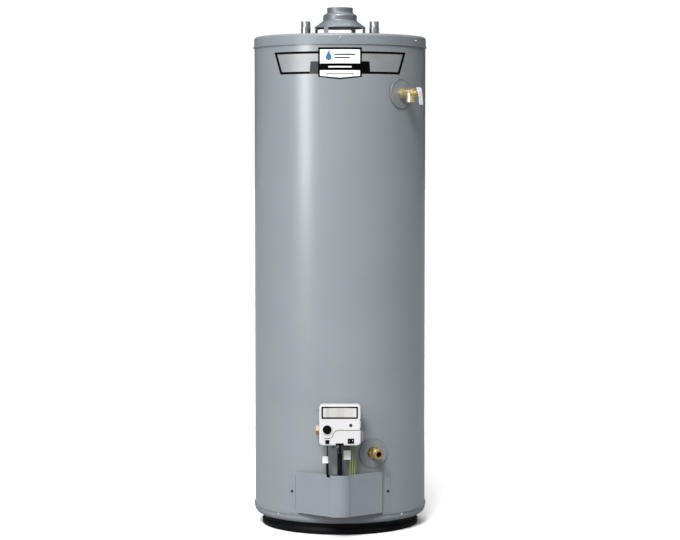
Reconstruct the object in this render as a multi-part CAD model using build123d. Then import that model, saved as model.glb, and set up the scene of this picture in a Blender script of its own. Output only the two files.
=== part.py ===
"""Tall gas-fired tank water heater, built as the pieces it comes apart into.

Millimetres. The origin is on the floor, on the tank's axis.
+Z is up and the front, with the gas control, faces -Y.
A facing frame stands at an angle round the jacket: x right, y up and z straight out from the tank's axis.
"""

from build123d import *
import math
import os

# ------------------------------------------------------------------ jacket and pans
jacket_radius = 254.0
jacket_sheet = 1.0
base_height = 34.0
body_top = 1447.0
pan_sheet = 1.0
top_pan_skirt = 32.0
top_pan_corner = 8.0
bottom_pan_skirt = 27.0
bottom_pan_corner = 15.0
lip_proud = 2.2
lip_height = 4.0
seam_width = 18.0
bottom_pan_opening = 150.0
screw_radius = 2.0
screw_head_radius = 4.2
screw_head_height = 2.0
screw_grip = 6.0
top_screw_drop = 16.0
bottom_screw_rise = 18.0
top_screw_angles = (0.0, 60.0, 180.0, 240.0)
bottom_screw_angles = (45.0, 135.0, 225.0, 315.0)

# ------------------------------------------------------------------ base
base_ring_inset = 27.0
base_ring_flare = 6.0
base_ring_wall = 3.0
base_ring_rim = 12.0
base_ring_shoulder = 20.4
base_ring_round = 2.0
base_ring_taper = 1.0
ring_latch_angle = 40.0
ring_latch_spacing = 3.2
ring_latch_width = 5.0
ring_latch_proud = 2.0
ring_latch_grip = 1.5
ring_latch_shortfall = 4.0
foot_length = 46.0
foot_width = 30.0
foot_wall = 3.0
foot_inset = 64.0
foot_angles = (45.0, 135.0, 225.0, 315.0)

# ------------------------------------------------------------------ tank, flue and insulation
insulation_thickness = 25.0
tank_wall = 2.5
head_room = 85.0
top_head_rise = 53.0
chamber_height = 183.0
bottom_head_rise = 30.0
bottom_head_flange = 22.0
flue_radius = 50.8
flue_wall = 2.5
flue_stub = 10.0
flue_drop = 8.0
baffle_width = 70.0
baffle_sheet = 1.6
baffle_reach = 26.0
baffle_pitch = 90.0
baffle_clearance = 150.0
baffle_hanger = 6.0
split_rise = 19.0
spud_radius = 19.0
spud_height = 16.0
spud_depth = 6.0
pipe_radius = 13.35
pipe_bore = 10.5
pipe_thread_grip = 14.0
jacket_hole_radius = 24.0
top_hole_clearance = 1.0
anode_hole_clearance = 5.0
foam_port_clearance = 1.0
wool_opening_margin = 4.0
wool_clip_depth = 8.0

# ------------------------------------------------------------------ top fittings
nipple_centres = 203.2
nipple_stand = 48.0
nipple_thread = 18.0
nipple_sleeve_radius = 14.2
dip_tube_radius = 9.5
dip_tube_wall = 1.5
dip_tube_clearance = 113.0
dip_flange = 2.0
anode_radius = 10.0
anode_offset = 150.0
anode_clearance = 203.0
anode_head_flats = 27.0
anode_head_height = 12.0

# ------------------------------------------------------------------ draft hood
collar_radius = 38.1
collar_height = 17.0
hood_rise = 88.0
step_height = 4.0
step_radius = 50.0
step_cylinder = 18.0
hood_bend = 7.0
skirt_radius = 76.0
flare_height = 19.0
skirt_lip = 2.0
hood_sheet = 1.0
leg_count = 4
leg_first_angle = -30.0
leg_gap = 6.0
leg_sheet = 1.2
leg_width = 14.0
leg_foot = 8.0
leg_tab_grip = 3.0

# ------------------------------------------------------------------ relief valve
tp_angle = 43.7
tp_drop = 170.0
valve_bore = 9.0
cover_disc_radius = 43.0
cover_disc_thickness = 2.6
cover_disc_lip = 1.2
cover_disc_rim = 2.5
tp_hex_flats = 28.0
tp_hex_thickness = 10.0
tp_barrel_radius = 13.5
tp_outlet_reach = 41.0
tp_outlet_radius = 14.5
tp_outlet_drop = 26.0
tp_outlet_bore = 12.1
tp_outlet_thread = 14.0
tp_passage = 7.5
tp_seat_depth = 32.0
tp_chamber_radius = 11.5
tp_chamber_length = 16.0
tp_disc_radius = 10.6
tp_disc_thickness = 3.0
tp_guide_wall = 2.0
tp_barrel_shoulder = 5.0
tp_bonnet_wall = 1.0
tp_bonnet_radius = 12.5
tp_spring_room = 11.0
tp_spring_radius = 9.0
tp_spring_wall = 2.4
tp_spring_clearance = 0.5
tp_spring_plate = 1.5
tp_neck_radius = 7.0
tp_neck_length = 5.0
tp_stem_radius = 2.4
tp_stem_head_radius = 4.0
tp_stem_head_height = 3.0
tp_stem_proud = 2.0
running_clearance = 0.05
pin_radius = 1.9
pin_head_radius = 3.0
pin_head_height = 1.0
lever_half_width = 7.0
lever_sheet = 1.6
lug_radius = 3.4
lug_inner = 3.4
lug_sheet = 1.8
lug_arm_low = 4.6
lug_arm_gap = 0.8
pin_rise = 10.0
pin_out = 3.5
pin_end_play = 0.2
lever_bends = ((-0.5, 4.6), (3.7, 2.4), (6.5, -5.5), (7.9, -18.0), (11.1, -44.0))
lever_cap_back = ((-2.9, -0.5), (-2.0, 3.0), (-0.5, 4.6), (3.7, 2.4))
lever_cap_front = ((6.5, -5.5), (7.4, -14.0), (4.0, -6.0), (-0.5, -3.3))
probe_radius = 5.0
probe_length = 110.0
spider_sheet = 3.0
spider_depth = 4.0
spider_clearance = 0.2

# ------------------------------------------------------------------ drain valve
drain_angle = 21.9
drain_rise = 23.7
gasket_radius = 17.0
gasket_thickness = 1.6
drain_hex_flats = 30.0
drain_hex_thickness = 6.0
drain_barrel_radius = 11.0
drain_barrel_length = 18.0
drain_inlet_bore = 6.5
hose_thread_radius = 13.2
hose_thread_length = 18.0
hose_bore = 8.0
plug_radius = 7.4
plug_height = 11.0
plug_travel = 8.0
plug_clearance = 0.1
chamber_drop = 8.5
chamber_end_gap = 0.6
drain_stem_offset = 6.0
drain_stem_radius = 4.0
drain_bonnet_radius = 10.0
drain_bonnet_wall = 5.0
drain_stem_proud = 6.0
drain_slot_width = 1.4
drain_slot_depth = 2.4

# ------------------------------------------------------------------ gas control
control_rise = 118.0
cover_half_width = 59.0
cover_above = 56.0
cover_below = 59.0
cover_back = 46.0
cover_depth = 45.0
cover_wall = 2.5
cover_corner = 10.0
cover_edge = 4.0
body_half_width = 50.0
body_above = 50.0
body_start = 14.0
hub_radius = 18.0
plate_thickness = 4.0
boss_depth = 30.0
boss_half_width = 45.0
boss_above = 40.0
boss_gap = 1.0
hub_socket_depth = 8.0
recess_depth = 1.4
window_left = -52.6
window_right = 50.8
window_low = 18.0
window_high = 53.0
window_corner = 1.5
window_sunk = 0.3
bezel_width = 4.2
bezel_proud = 0.5
bezel_break = 26.0
bezel_break_depth = 0.5
knob_x = -36.5
knob_y = -13.1
knob_radius = 11.9
knob_gap = 0.7
knob_ring_width = 3.0
knob_ring_proud = 1.4
knob_proud = 4.0
knob_thickness = 8.0
knob_hub_radius = 7.0
knob_hub_length = 5.0
knob_rib_width = 4.0
knob_rib_height = 3.0
knob_rib_inset = 2.0
knob_flutes = 24
knob_flute_radius = 0.8
knob_flute_offset = 0.35
knob_travel = 4.0
shaft_radius = 4.0
shaft_grip = 8.0
shaft_in_knob = 2.0
button_x = -35.9
button_y = -48.2
button_size = 10.8
button_gap = 0.4
button_proud = 1.6
button_depth = 9.0
button_travel = 3.0
button_stem_radius = 3.0
button_stem_gap = 1.0
light_x = 30.7
light_y = -1.1
light_radius = 5.0
light_sunk = 0.6
socket_left = 21.9
socket_right = 39.8
socket_low = -53.3
socket_high = -38.7
socket_seat = 2.0
socket_proud = 0.6
socket_pins = (0.3, 0.7)
socket_pin_half = 2.2
socket_pin_low = -49.0
socket_pin_high = -43.0
socket_pin_depth = 2.0
port_left = -12.7
port_right = 10.6
port_height = 7.0
port_depth = 14.0
port_wall = 3.0
port_back = 5.0
groove_width = 1.8
groove_depth = 1.6
groove_right_level = -15.0
groove_bends = ((-4.0, -15.2), (-24.0, -35.5), (-45.0, -37.8))
clip_notch = 3.0
clip_notch_half = 2.0
clip_notch_depth = 9.0
clip_notch_levels = (14.6, -10.0)
inlet_y = -22.5
inlet_depth = 24.0
inlet_flats = 30.0
inlet_reach = 10.0
inlet_bore = 9.3
inlet_bore_depth = 12.0
ear_thickness = 12.0
ear_grip = 2.0
ears = ((-68.0, 27.0, 41.0), (66.5, 26.0, 40.0), (67.0, -51.0, -23.0))
well_radius = 6.35
well_flue_gap = 20.0

# ------------------------------------------------------------------ tubes and leads
manifold_radius = 6.35
manifold_x = -2.0
manifold_out = 25.0
manifold_rise = 70.0
manifold_bend = 19.0
manifold_nut_flats = 19.0
manifold_nut_height = 14.0
pilot_tube_radius = 3.2
pilot_tube_out = 42.0
pilot_rise = 54.0
pilot_bend = 15.0
lead_out = 35.0
lead_bend = 12.0
igniter_lead_x = -36.2
igniter_lead_radius = 1.9
igniter_lead_rise = 109.0
igniter_sleeve_radius = 3.65
igniter_sleeve_drop = 59.0
igniter_sleeve_dip = 6.9
pilot_sleeve_radius = 6.2
pilot_sleeve_drop = 30.0
pilot_sleeve_dip = 55.4
sleeve_foot = 6.5
sleeve_foot_gap = 0.5
sleeve_foot_height = 4.0
thermopile_lead_radius = 1.7
thermopile_leads_route = ((29.3, 29.3, 116.0, 0.0), (36.0, 34.6, 108.0, -4.0), (43.0, 40.0, 100.0, 0.0))
lead_turn_drop = 61.0
tag_sheet = 0.6
tag_boxes = ((-50.2, -34.3, 58.0, 38.0), (10.4, 30.8, 47.5, 21.0))
clip_ring_radius = 4.5
clip_ring_bore = 2.2
clip_ring_x = -19.5
clip_ring_drop = 10.0
clip_ring_width = 4.0
clip_stalk = 2.4
wrap_left = 9.0
wrap_right = 27.0
wrap_height = 20.0
wrap_thickness = 8.0

# ------------------------------------------------------------------ combustion chamber
arrestor_radius = 95.0
arrestor_opening = 80.0
arrestor_thickness = 10.0
arrestor_hole = 4.0
arrestor_pitch = 15.0
arrestor_rim = 2.0
floor_sheet = 1.5
burner_radius = 100.0
burner_thickness = 18.0
burner_sheet = 2.0
burner_ports = 24
burner_port_radius = 3.0
burner_port_reach = 3.0
mixer_radius = 22.0
mixer_height = 16.0
bracket_radius = 26.0
bracket_sheet = 2.0
bracket_hole = 5.0
air_hole_radius = 4.5
air_hole_circle = 14.0
air_hole_count = 4
air_hole_first_angle = 45.0
tube_cone = 1.0
orifice_flats = 14.0
orifice_height = 12.0
orifice_bore = 1.2
pilot_x = -20.0
pilot_y = -110.0
pilot_block = 15.0
pilot_block_half_x = 8.0
pilot_block_half_y = 7.0
pilot_plate_left = 13.0
pilot_plate_right = 24.0
pilot_plate_front = 9.0
pilot_plate_overlap = 18.0
pilot_sheet = 2.0
pilot_arm_inset = 1.0
pilot_arm_width = 4.0
pilot_arm_half_height = 4.0
thermopile_x = -4.0
thermopile_y = -112.0
thermopile_radius = 3.5
thermopile_drop = 25.0
thermopile_rise = 8.0
electrode_radius = 3.2
electrode_clamp = 2.0
electrode_start = -140.0
electrode_end = -112.0
electrode_wire = 1.0
electrode_wire_length = 8.0
clamp_front_inset = 12.0
clamp_back_reach = 2.0
inner_door_half_angle = 22.5
inner_door_rise = 36.0
inner_door_height = 106.0
inner_door_sheet = 1.5
door_gasket = 2.0
gasket_frame_angle = 4.5
gasket_frame_height = 8.0
inner_screw_angle = 20.5
inner_screw_inset = 14.0
inner_screw_radius = 2.5
inner_screw_flats = 8.0
inner_screw_head = 4.0
inner_screw_seat = 0.5
inner_screw_lift = 0.1
manifold_hole_clearance = 0.3
pilot_hole_clearance = 0.9
igniter_hole_clearance = 0.2
sight_angle = 14.0
sight_rise = 111.0
sight_radius = 9.0
sight_thickness = 4.0
jacket_door_half_angle = 25.0
jacket_door_margin = 3.0

# ------------------------------------------------------------------ outer door
door_rise = 31.0
door_height = 120.4
door_half_width = 122.5
door_step = 12.0
nose_half_width = 32.0
nose_edge_out = 46.0
nose_out = 61.0
door_sheet = 1.0
door_gap = 0.3
flange_width = 30.0
flange_clearance = 0.6
flange_screw_inset = 19.0
flange_screw_rise = 60.3
flange_hole_spacing = 43.0
flange_hole_radius = 2.2
flange_rib_left = 7.0
flange_rib_width = 5.2
flange_rib_proud = 1.2
flange_rib_shortfall = 12.0
door_screw_radius = 1.5
door_screw_head = 3.6
door_screw_grip = 4.0
door_screw_seat = 0.3
door_screw_lift = 0.05
door_screw_height = 1.8
door_clip_hole = 4.0
nose_bead_proud = 0.6
nose_bead_height = 2.0
nose_bead_inset = 9.0
nose_bead_end = 1.0
door_side_end = 10.0
notch_left = -38.5
notch_right = -29.0
notch_depth = 7.5

# ------------------------------------------------------------------ front label
label_thickness = 0.3
band_drop = 52.0
band_height = 64.0
band_top_half = 189.6
band_bottom_half = 171.9
shield_half = 62.5
shield_above = 11.0
shield_below = 9.0
shield_point_below = 16.0

# ------------------------------------------------------------------ worked-out levels
jacket_low = base_height + bottom_pan_corner
jacket_high = body_top - top_pan_corner
jacket_inner = jacket_radius - jacket_sheet
tank_radius = jacket_inner - insulation_thickness
tank_inner = tank_radius - tank_wall
pan_floor = base_height + pan_sheet
top_lip_level = body_top - top_pan_skirt
bottom_lip_level = base_height + bottom_pan_skirt
flange_low = bottom_lip_level + flange_clearance
tank_shell_top = body_top - head_room
bottom_head_level = base_height + chamber_height
insulation_split = bottom_head_level + split_rise
tp_height = body_top - tp_drop
drain_height = bottom_head_level + drain_rise
control_height = bottom_head_level + control_rise
leg_radius = skirt_radius + leg_gap
base_ring_top_radius = jacket_radius - base_ring_inset
base_ring_floor_radius = base_ring_top_radius + base_ring_flare
hood_top = body_top + hood_rise
step_top = hood_top - collar_height - step_height
flare_level = step_top - step_cylinder - flare_height
skirt_bottom = flare_level - skirt_lip
pan_face = jacket_radius + pan_sheet
inner_door_low = base_height + inner_door_rise
inner_door_high = inner_door_low + inner_door_height
jacket_door_low = inner_door_low - jacket_door_margin
jacket_door_high = inner_door_high + jacket_door_margin
door_low = base_height + door_rise
door_top = door_low + door_height
flange_screw_level = door_low + flange_screw_rise
manifold_level = base_height + manifold_rise
pilot_level = base_height + pilot_rise
igniter_lead_level = base_height + igniter_lead_rise
spud_out = tank_radius + spud_height
spud_in = tank_inner - spud_depth
thread_in = spud_out - pipe_thread_grip
disc_face = jacket_radius + cover_disc_thickness
nipple_x = nipple_centres / 2
nipple_top = body_top + nipple_stand
control_bottom = control_height - cover_below
over_cut = 1.0
deep_cut = 20.0
ON_BASE = (Align.CENTER, Align.CENTER, Align.MIN)


# ------------------------------------------------------------------ helpers
def post(radius, low, high, x=0.0, y=0.0):
    """Upright cylinder between two heights."""
    return Pos(x, y, low) * Cylinder(radius, high - low, align=ON_BASE)


def ring(outer, inner, low, high, x=0.0, y=0.0):
    """Upright tube between two heights."""
    return post(outer, low, high, x, y) - post(inner, low, high, x, y)


def block(x0, x1, y0, y1, z0, z1):
    """Box between two opposite corners."""
    return Pos((x0 + x1) / 2, (y0 + y1) / 2, (z0 + z1) / 2) * Box(x1 - x0, y1 - y0, z1 - z0)


def hexagon(flats, low, high, x=0.0, y=0.0):
    """Upright hexagonal bar, measured across its flats."""
    return Pos(x, y, low) * extrude(RegularPolygon(flats / 2, 6, major_radius=False), high - low)


def turned(points):
    """Solid of revolution about the tank's axis from a closed outline of (radius, height)."""
    return revolve(Plane.XZ * make_face(Polyline(*points, close=True)), Axis.Z)


def facing(angle, height=0.0):
    """Frame at an angle round the jacket: x right, y up, z straight out from the tank's axis."""
    return Pos(0, 0, height) * Rot(0, 0, angle) * Rot(90, 0, 0)


def side_profile(points, half_width):
    """Strip of even width whose outline is given as (distance out, height) in a facing frame."""
    outline = make_face(Polyline(*[(0, height, out) for out, height in points], close=True))
    return extrude(outline, half_width, dir=(1, 0, 0), both=True)


def sector(outer, inner, low, high, angle_from, angle_to):
    """Part of an upright tube between two angles from the front."""
    reach = outer * 2
    spread = [(0, 0)]
    for step in range(5):
        angle = math.radians(angle_from + (angle_to - angle_from) * step / 4)
        spread.append((reach * math.sin(angle), -reach * math.cos(angle)))
    wedge = Pos(0, 0, low) * extrude(make_face(Polyline(*spread, close=True)), high - low)
    return ring(outer, inner, low, high) & wedge


def bent_tube(radius, points, bend):
    """Round tube or wire along straight runs joined by tangent arcs."""
    path = FilletPolyline(*points, radius=bend)
    section = Plane(origin=path @ 0, z_dir=path % 0) * Circle(radius)
    return sweep(section, path=path)


def arc_angle(length):
    """Degrees round the jacket for a length along it."""
    return math.degrees(length / jacket_radius)


def in_plan(x, out):
    """Point in plan, a distance in front of the jacket's front line."""
    return (x, -(jacket_radius + out))


def rounded_slab(left, right, low, high, back, front, corner):
    """Slab in a facing frame with rounded corners."""
    middle = Pos((left + right) / 2, (low + high) / 2, back)
    outline = middle * RectangleRounded(right - left, high - low, corner)
    return extrude(outline, front - back)


def dished_level(radius, edge_radius, edge_level, rise):
    """Height of a dished head's outer face at a distance from the axis."""
    sphere = (edge_radius**2 + rise**2) / (2 * rise)
    return edge_level + rise - sphere + math.sqrt(sphere**2 - radius**2)


def dished_plate(hole_radius, edge_radius, edge_level, rise, wall):
    """Dished plate with a round hole at its middle, its wall measured upright."""
    radii = (hole_radius, (hole_radius + edge_radius) / 2, edge_radius)
    top = [(radius, 0, dished_level(radius, edge_radius, edge_level, rise)) for radius in radii]
    under = [(x, y, z - wall) for x, y, z in reversed(top)]
    faces = [ThreePointArc(*top), ThreePointArc(*under)]
    ends = [Line(top[-1], under[0]), Line(under[-1], top[0])]
    return revolve(make_face(Curve() + faces + ends), Axis.Z)


def dome_level(radius):
    """Height of the top head's outer face at a distance from the axis."""
    return dished_level(radius, tank_radius, tank_shell_top + tank_wall, top_head_rise)


# ------------------------------------------------------------------ holes that several pieces share
def pan_screw_places():
    """Every pan screw as (angle, height)."""
    top = [(angle, body_top - top_screw_drop) for angle in top_screw_angles]
    bottom = [(angle, base_height + bottom_screw_rise) for angle in bottom_screw_angles]
    return top + bottom


def pan_screw_holes():
    """Round holes for the pan screws."""
    hole = post(screw_radius, pan_face - screw_grip, pan_face)
    return [facing(angle, height) * hole for angle, height in pan_screw_places()]


def side_places():
    """Side connections of the tank as (angle, height): relief valve, drain valve and control."""
    return ((tp_angle, tp_height), (drain_angle, drain_height), (0.0, control_height))


def top_places():
    """Top connections of the tank as (x, y): cold inlet, hot outlet and anode."""
    return ((nipple_x, 0.0), (-nipple_x, 0.0), (0.0, anode_offset))


def side_holes(radius, start, end):
    """Radial holes at the side connections."""
    return [facing(angle, height) * post(radius, start, end) for angle, height in side_places()]


def burner_window(outer, inner):
    """The opening that the inner door closes."""
    half = inner_door_half_angle - gasket_frame_angle
    low = inner_door_low + gasket_frame_height
    high = inner_door_high - gasket_frame_height
    return sector(outer, inner, low, high, -half, half)


def inner_screw_places():
    """The inner door's screws as (angle, height)."""
    levels = (inner_door_low + inner_screw_inset, inner_door_high - inner_screw_inset)
    return [(side * inner_screw_angle, level) for side in (-1, 1) for level in levels]


def inner_screw_holes():
    """Radial holes for the inner door's screws."""
    outer = tank_radius + door_gasket + inner_door_sheet
    hole = post(inner_screw_radius, tank_inner - over_cut, outer + over_cut)
    return [facing(angle, height) * hole for angle, height in inner_screw_places()]


def flange_angle(inset):
    """Angle of a line on the outer door's flange, at a distance out from the door's panel."""
    return math.degrees(math.asin((door_half_width - door_sheet / 2) / jacket_radius)) + arc_angle(inset)


def flange_strip(outer, inner, low, high, inset, width, side):
    """Strip of an outer door flange on one side."""
    edges = sorted((side * flange_angle(inset), side * flange_angle(inset + width)))
    return sector(outer, inner, low, high, *edges)


def door_clip_holes(depth):
    """Oversize holes behind the outer door's screws."""
    hole = post(door_clip_hole, jacket_radius - depth, jacket_radius + over_cut)
    angle = flange_angle(flange_screw_inset)
    return [facing(side * angle, flange_screw_level) * hole for side in (-1, 1)]


# ------------------------------------------------------------------ jacket, pans and base
def jacket_shell():
    shell = ring(jacket_radius, jacket_inner, jacket_low, jacket_high)
    seam_top = top_lip_level
    seam = ring(jacket_radius + jacket_sheet, jacket_radius, bottom_lip_level, seam_top)
    shell += seam & block(-seam_width / 2, seam_width / 2, 0, jacket_radius * 2, bottom_lip_level, seam_top)
    window = sector(
        jacket_radius + over_cut,
        jacket_inner - over_cut,
        jacket_door_low,
        jacket_door_high,
        -jacket_door_half_angle,
        jacket_door_half_angle,
    )
    holes = side_holes(jacket_hole_radius, jacket_inner - deep_cut, jacket_radius + deep_cut)
    return shell - window - holes - pan_screw_holes() - door_clip_holes(jacket_sheet + over_cut)


def rounded_cup(radius, corner, low, high, round_top):
    """Upright cylinder with one rounded end."""
    solid = post(radius, low, high)
    edges = solid.edges().filter_by(GeomType.CIRCLE).sort_by(Axis.Z)
    return fillet(edges[-1] if round_top else edges[0], corner)


def top_pan():
    inner_top = body_top - pan_sheet
    cup = rounded_cup(pan_face, top_pan_corner, top_lip_level, body_top, True)
    hollow = rounded_cup(jacket_radius, top_pan_corner - pan_sheet, top_lip_level, inner_top, True)
    pan = cup - hollow
    pan += ring(pan_face + lip_proud, jacket_radius, top_lip_level, top_lip_level + lip_height)
    low, high = inner_top - over_cut, body_top + over_cut
    holes = [post(hole, low, high, x, y) for (x, y), hole in zip(top_places(), top_hole_radii())]
    holes.append(post(flue_radius + top_hole_clearance, low, high))
    return pan - holes - pan_screw_holes()


def top_hole_radii():
    """Radii of the top pan's three pipe holes: cold inlet, hot outlet and anode."""
    pipe_hole = nipple_sleeve_radius + top_hole_clearance
    return (pipe_hole, pipe_hole, anode_head_flats / 2 + anode_hole_clearance)


def bottom_pan():
    cup = rounded_cup(pan_face, bottom_pan_corner, base_height, bottom_lip_level, False)
    hollow = rounded_cup(jacket_radius, bottom_pan_corner - pan_sheet, pan_floor, bottom_lip_level, False)
    pan = cup - hollow
    pan += ring(pan_face + lip_proud, jacket_radius, bottom_lip_level - lip_height, bottom_lip_level)
    return pan - post(bottom_pan_opening, base_height, pan_floor) - pan_screw_holes()


def pan_screws():
    screw = post(screw_radius, pan_face - screw_grip, pan_face)
    screw += post(screw_head_radius, pan_face, pan_face + screw_head_height)
    return Part() + [facing(angle, height) * screw for angle, height in pan_screw_places()]


def base_filter_ring():
    outer = [
        (base_ring_top_radius, base_height),
        (base_ring_top_radius + base_ring_taper, base_ring_shoulder),
        (base_ring_floor_radius, base_ring_rim),
        (base_ring_floor_radius, base_ring_round),
        (base_ring_floor_radius - base_ring_round, 0.0),
    ]
    inner_radius = base_ring_floor_radius - base_ring_wall - base_ring_round
    inner = [
        (inner_radius, 0.0),
        (inner_radius, base_ring_rim - base_ring_round),
        (base_ring_top_radius + base_ring_taper - base_ring_wall, base_ring_shoulder - base_ring_round),
        (base_ring_top_radius - base_ring_wall, base_height),
    ]
    tab = block(
        -ring_latch_width / 2,
        ring_latch_width / 2,
        -base_ring_floor_radius - ring_latch_proud,
        -base_ring_floor_radius + ring_latch_grip,
        base_ring_round,
        base_ring_rim - ring_latch_shortfall,
    )
    angles = [ring_latch_angle + side * ring_latch_spacing / 2 for side in (-1, 1)]
    return turned(outer + inner) + [Rot(0, 0, angle) * tab for angle in angles]


def support_feet():
    half, middle = foot_length / 2, foot_inset - jacket_radius
    foot = block(-half, half, middle - foot_width / 2, middle + foot_width / 2, 0, base_height)
    inner_half, roof = half - foot_wall, base_height - foot_wall
    hollow = block(-inner_half, inner_half, -jacket_radius, 0, foot_wall, roof)
    return Part() + [Rot(0, 0, angle) * (foot - hollow) for angle in foot_angles]


def front_label():
    band_top = body_top - band_drop
    band_bottom = band_top - band_height
    shield_top = band_top + shield_above
    shield_shoulder = band_bottom - shield_below
    shield_point = band_bottom - shield_point_below
    half = [
        (0, shield_point),
        (shield_half, shield_shoulder),
        (shield_half, band_bottom),
        (band_bottom_half, band_bottom),
        (band_top_half, band_top),
        (shield_half, band_top),
        (shield_half, shield_top),
    ]
    mirrored = [(-x, z) for x, z in reversed(half[1:])]
    outline = Plane.XZ * make_face(Polyline(*(half + mirrored), close=True))
    cutter = extrude(outline, jacket_radius * 2)
    return ring(jacket_radius + label_thickness, jacket_radius, shield_point, shield_top) & cutter


# ------------------------------------------------------------------ tank, flue and insulation
def tank_shell():
    shell = ring(tank_radius, tank_inner, pan_floor, tank_shell_top)
    holes = side_holes(spud_radius, tank_inner - over_cut, tank_radius + over_cut)
    window = burner_window(tank_radius + over_cut, tank_inner - over_cut)
    return shell - holes - window - inner_screw_holes()


def top_head():
    plate = dished_plate(flue_radius, tank_radius, tank_shell_top + tank_wall, top_head_rise, tank_wall)
    return plate - [post(spud_radius, tank_shell_top, body_top, x, y) for x, y in top_places()]


def bottom_head():
    plate = dished_plate(flue_radius, tank_inner, bottom_head_level, bottom_head_rise, tank_wall)
    rim_low = bottom_head_level - bottom_head_flange
    return plate + ring(tank_inner, tank_inner - tank_wall, rim_low, bottom_head_level - tank_wall / 2)


def tank_heads():
    return Part() + [top_head(), bottom_head()]


def flue_base():
    """Height of the flue's lower end, just under the bottom head."""
    return bottom_head_level + bottom_head_rise - flue_drop


def flue_tube():
    return ring(flue_radius, flue_radius - flue_wall, flue_base(), body_top + flue_stub)


def flue_baffle():
    flue_top = body_top + flue_stub
    points = [(0.0, flue_top)]
    for bend in range(int((flue_top - flue_base() - baffle_clearance) / baffle_pitch)):
        side = baffle_reach / 2 if bend % 2 else -baffle_reach / 2
        points.append((side, flue_top - baffle_pitch * (bend + 0.5)))
    strip = extrude(Plane.YZ * trace(Polyline(*points), baffle_sheet), baffle_width / 2, both=True)
    half = baffle_hanger / 2
    return strip + block(-flue_radius, flue_radius, -half, half, flue_top, flue_top + baffle_sheet)


def tank_spuds():
    side_spud = ring(spud_radius, pipe_radius, spud_in, spud_out)
    spuds = [facing(angle, height) * side_spud for angle, height in side_places()]
    for x, y in top_places():
        level = dome_level(math.hypot(x, y))
        spud = ring(spud_radius, pipe_radius, level - spud_depth * 2, level + spud_height, x, y)
        if x > 0:
            ledge_top = nipple_low(x) - dip_flange
            spud += ring(spud_radius, dip_tube_radius, level - spud_depth * 2, ledge_top, x, y)
        spuds.append(spud)
    return Part() + spuds


def tank_envelope():
    """The tank with its spuds, as one solid that the foam is moulded round."""
    shoulder = tank_shell_top + tank_wall
    solid = post(tank_radius, insulation_split, shoulder)
    solid += dished_plate(flue_radius / 2, tank_radius, shoulder, top_head_rise, top_head_rise + tank_wall)
    solid += side_holes(spud_radius, tank_inner, spud_out)
    solid += side_holes(hub_radius + foam_port_clearance, spud_out, jacket_radius)
    for (x, y), hole in zip(top_places(), top_hole_radii()):
        solid += post(max(spud_radius, hole), tank_shell_top, body_top, x, y)
    return solid + post(flue_radius, tank_shell_top, body_top)


def foam_insulation():
    return post(jacket_inner, insulation_split, jacket_high) - tank_envelope() - pan_screw_holes()


def chamber_insulation():
    wool = ring(jacket_inner, tank_radius, jacket_low, insulation_split)
    gap = sector(
        jacket_radius,
        tank_radius - over_cut,
        jacket_low,
        jacket_door_high + wool_opening_margin,
        -jacket_door_half_angle,
        jacket_door_half_angle,
    )
    drain_room = side_holes(hub_radius + foam_port_clearance, tank_radius - over_cut, jacket_radius)
    return wool - gap - drain_room - pan_screw_holes() - door_clip_holes(wool_clip_depth)


# ------------------------------------------------------------------ top fittings
def nipple_low(x):
    """Lower end of a pipe nipple, screwed into its spud."""
    return dome_level(abs(x)) + spud_height - pipe_thread_grip


def pipe_nipple(x):
    sleeve_top = nipple_top - nipple_thread
    sleeve_low = dome_level(abs(x)) + spud_height
    outer = post(pipe_radius, nipple_low(x), nipple_top, x)
    outer += post(nipple_sleeve_radius, sleeve_low, sleeve_top, x)
    return outer - post(pipe_bore, nipple_low(x), nipple_top, x)


def pipe_nipples():
    return Part() + [pipe_nipple(-nipple_x), pipe_nipple(nipple_x)]


def dip_tube():
    top = nipple_low(nipple_x)
    low = bottom_head_level + dip_tube_clearance
    tube = ring(dip_tube_radius, dip_tube_radius - dip_tube_wall, low, top, nipple_x)
    return tube + ring(pipe_radius, dip_tube_radius - dip_tube_wall, top - dip_flange, top, nipple_x)


def anode_rod():
    seat = dome_level(anode_offset) + spud_height
    head = hexagon(anode_head_flats, seat, seat + anode_head_height, 0, anode_offset)
    thread = post(pipe_radius, seat - pipe_thread_grip, seat, 0, anode_offset)
    return head + thread + post(anode_radius, bottom_head_level + anode_clearance, seat, 0, anode_offset)


# ------------------------------------------------------------------ draft hood
def draft_hood():
    middle = hood_sheet / 2
    path = FilletPolyline(
        (collar_radius - middle, hood_top),
        (collar_radius - middle, hood_top - collar_height),
        (step_radius - middle, step_top),
        (step_radius - middle, step_top - step_cylinder),
        (skirt_radius - middle, flare_level),
        radius=hood_bend,
    )
    lip = ring(skirt_radius, skirt_radius - hood_sheet, skirt_bottom, flare_level + middle)
    return revolve(Plane.XZ * trace(path, hood_sheet), Axis.Z) + lip


def draft_hood_legs():
    tab_start = skirt_radius - leg_tab_grip
    tab = [(tab_start, skirt_bottom), (leg_radius, skirt_bottom)]
    upright = [(leg_radius, body_top + leg_sheet), (leg_radius + leg_foot, body_top + leg_sheet)]
    sole = [(leg_radius + leg_foot, body_top), (leg_radius - leg_sheet, body_top)]
    back = [(leg_radius - leg_sheet, skirt_bottom - leg_sheet), (tab_start, skirt_bottom - leg_sheet)]
    leg = side_profile(tab + upright + sole + back, leg_width / 2)
    return Part() + [facing(leg_first_angle + 360.0 * step / leg_count) * leg for step in range(leg_count)]


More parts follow.
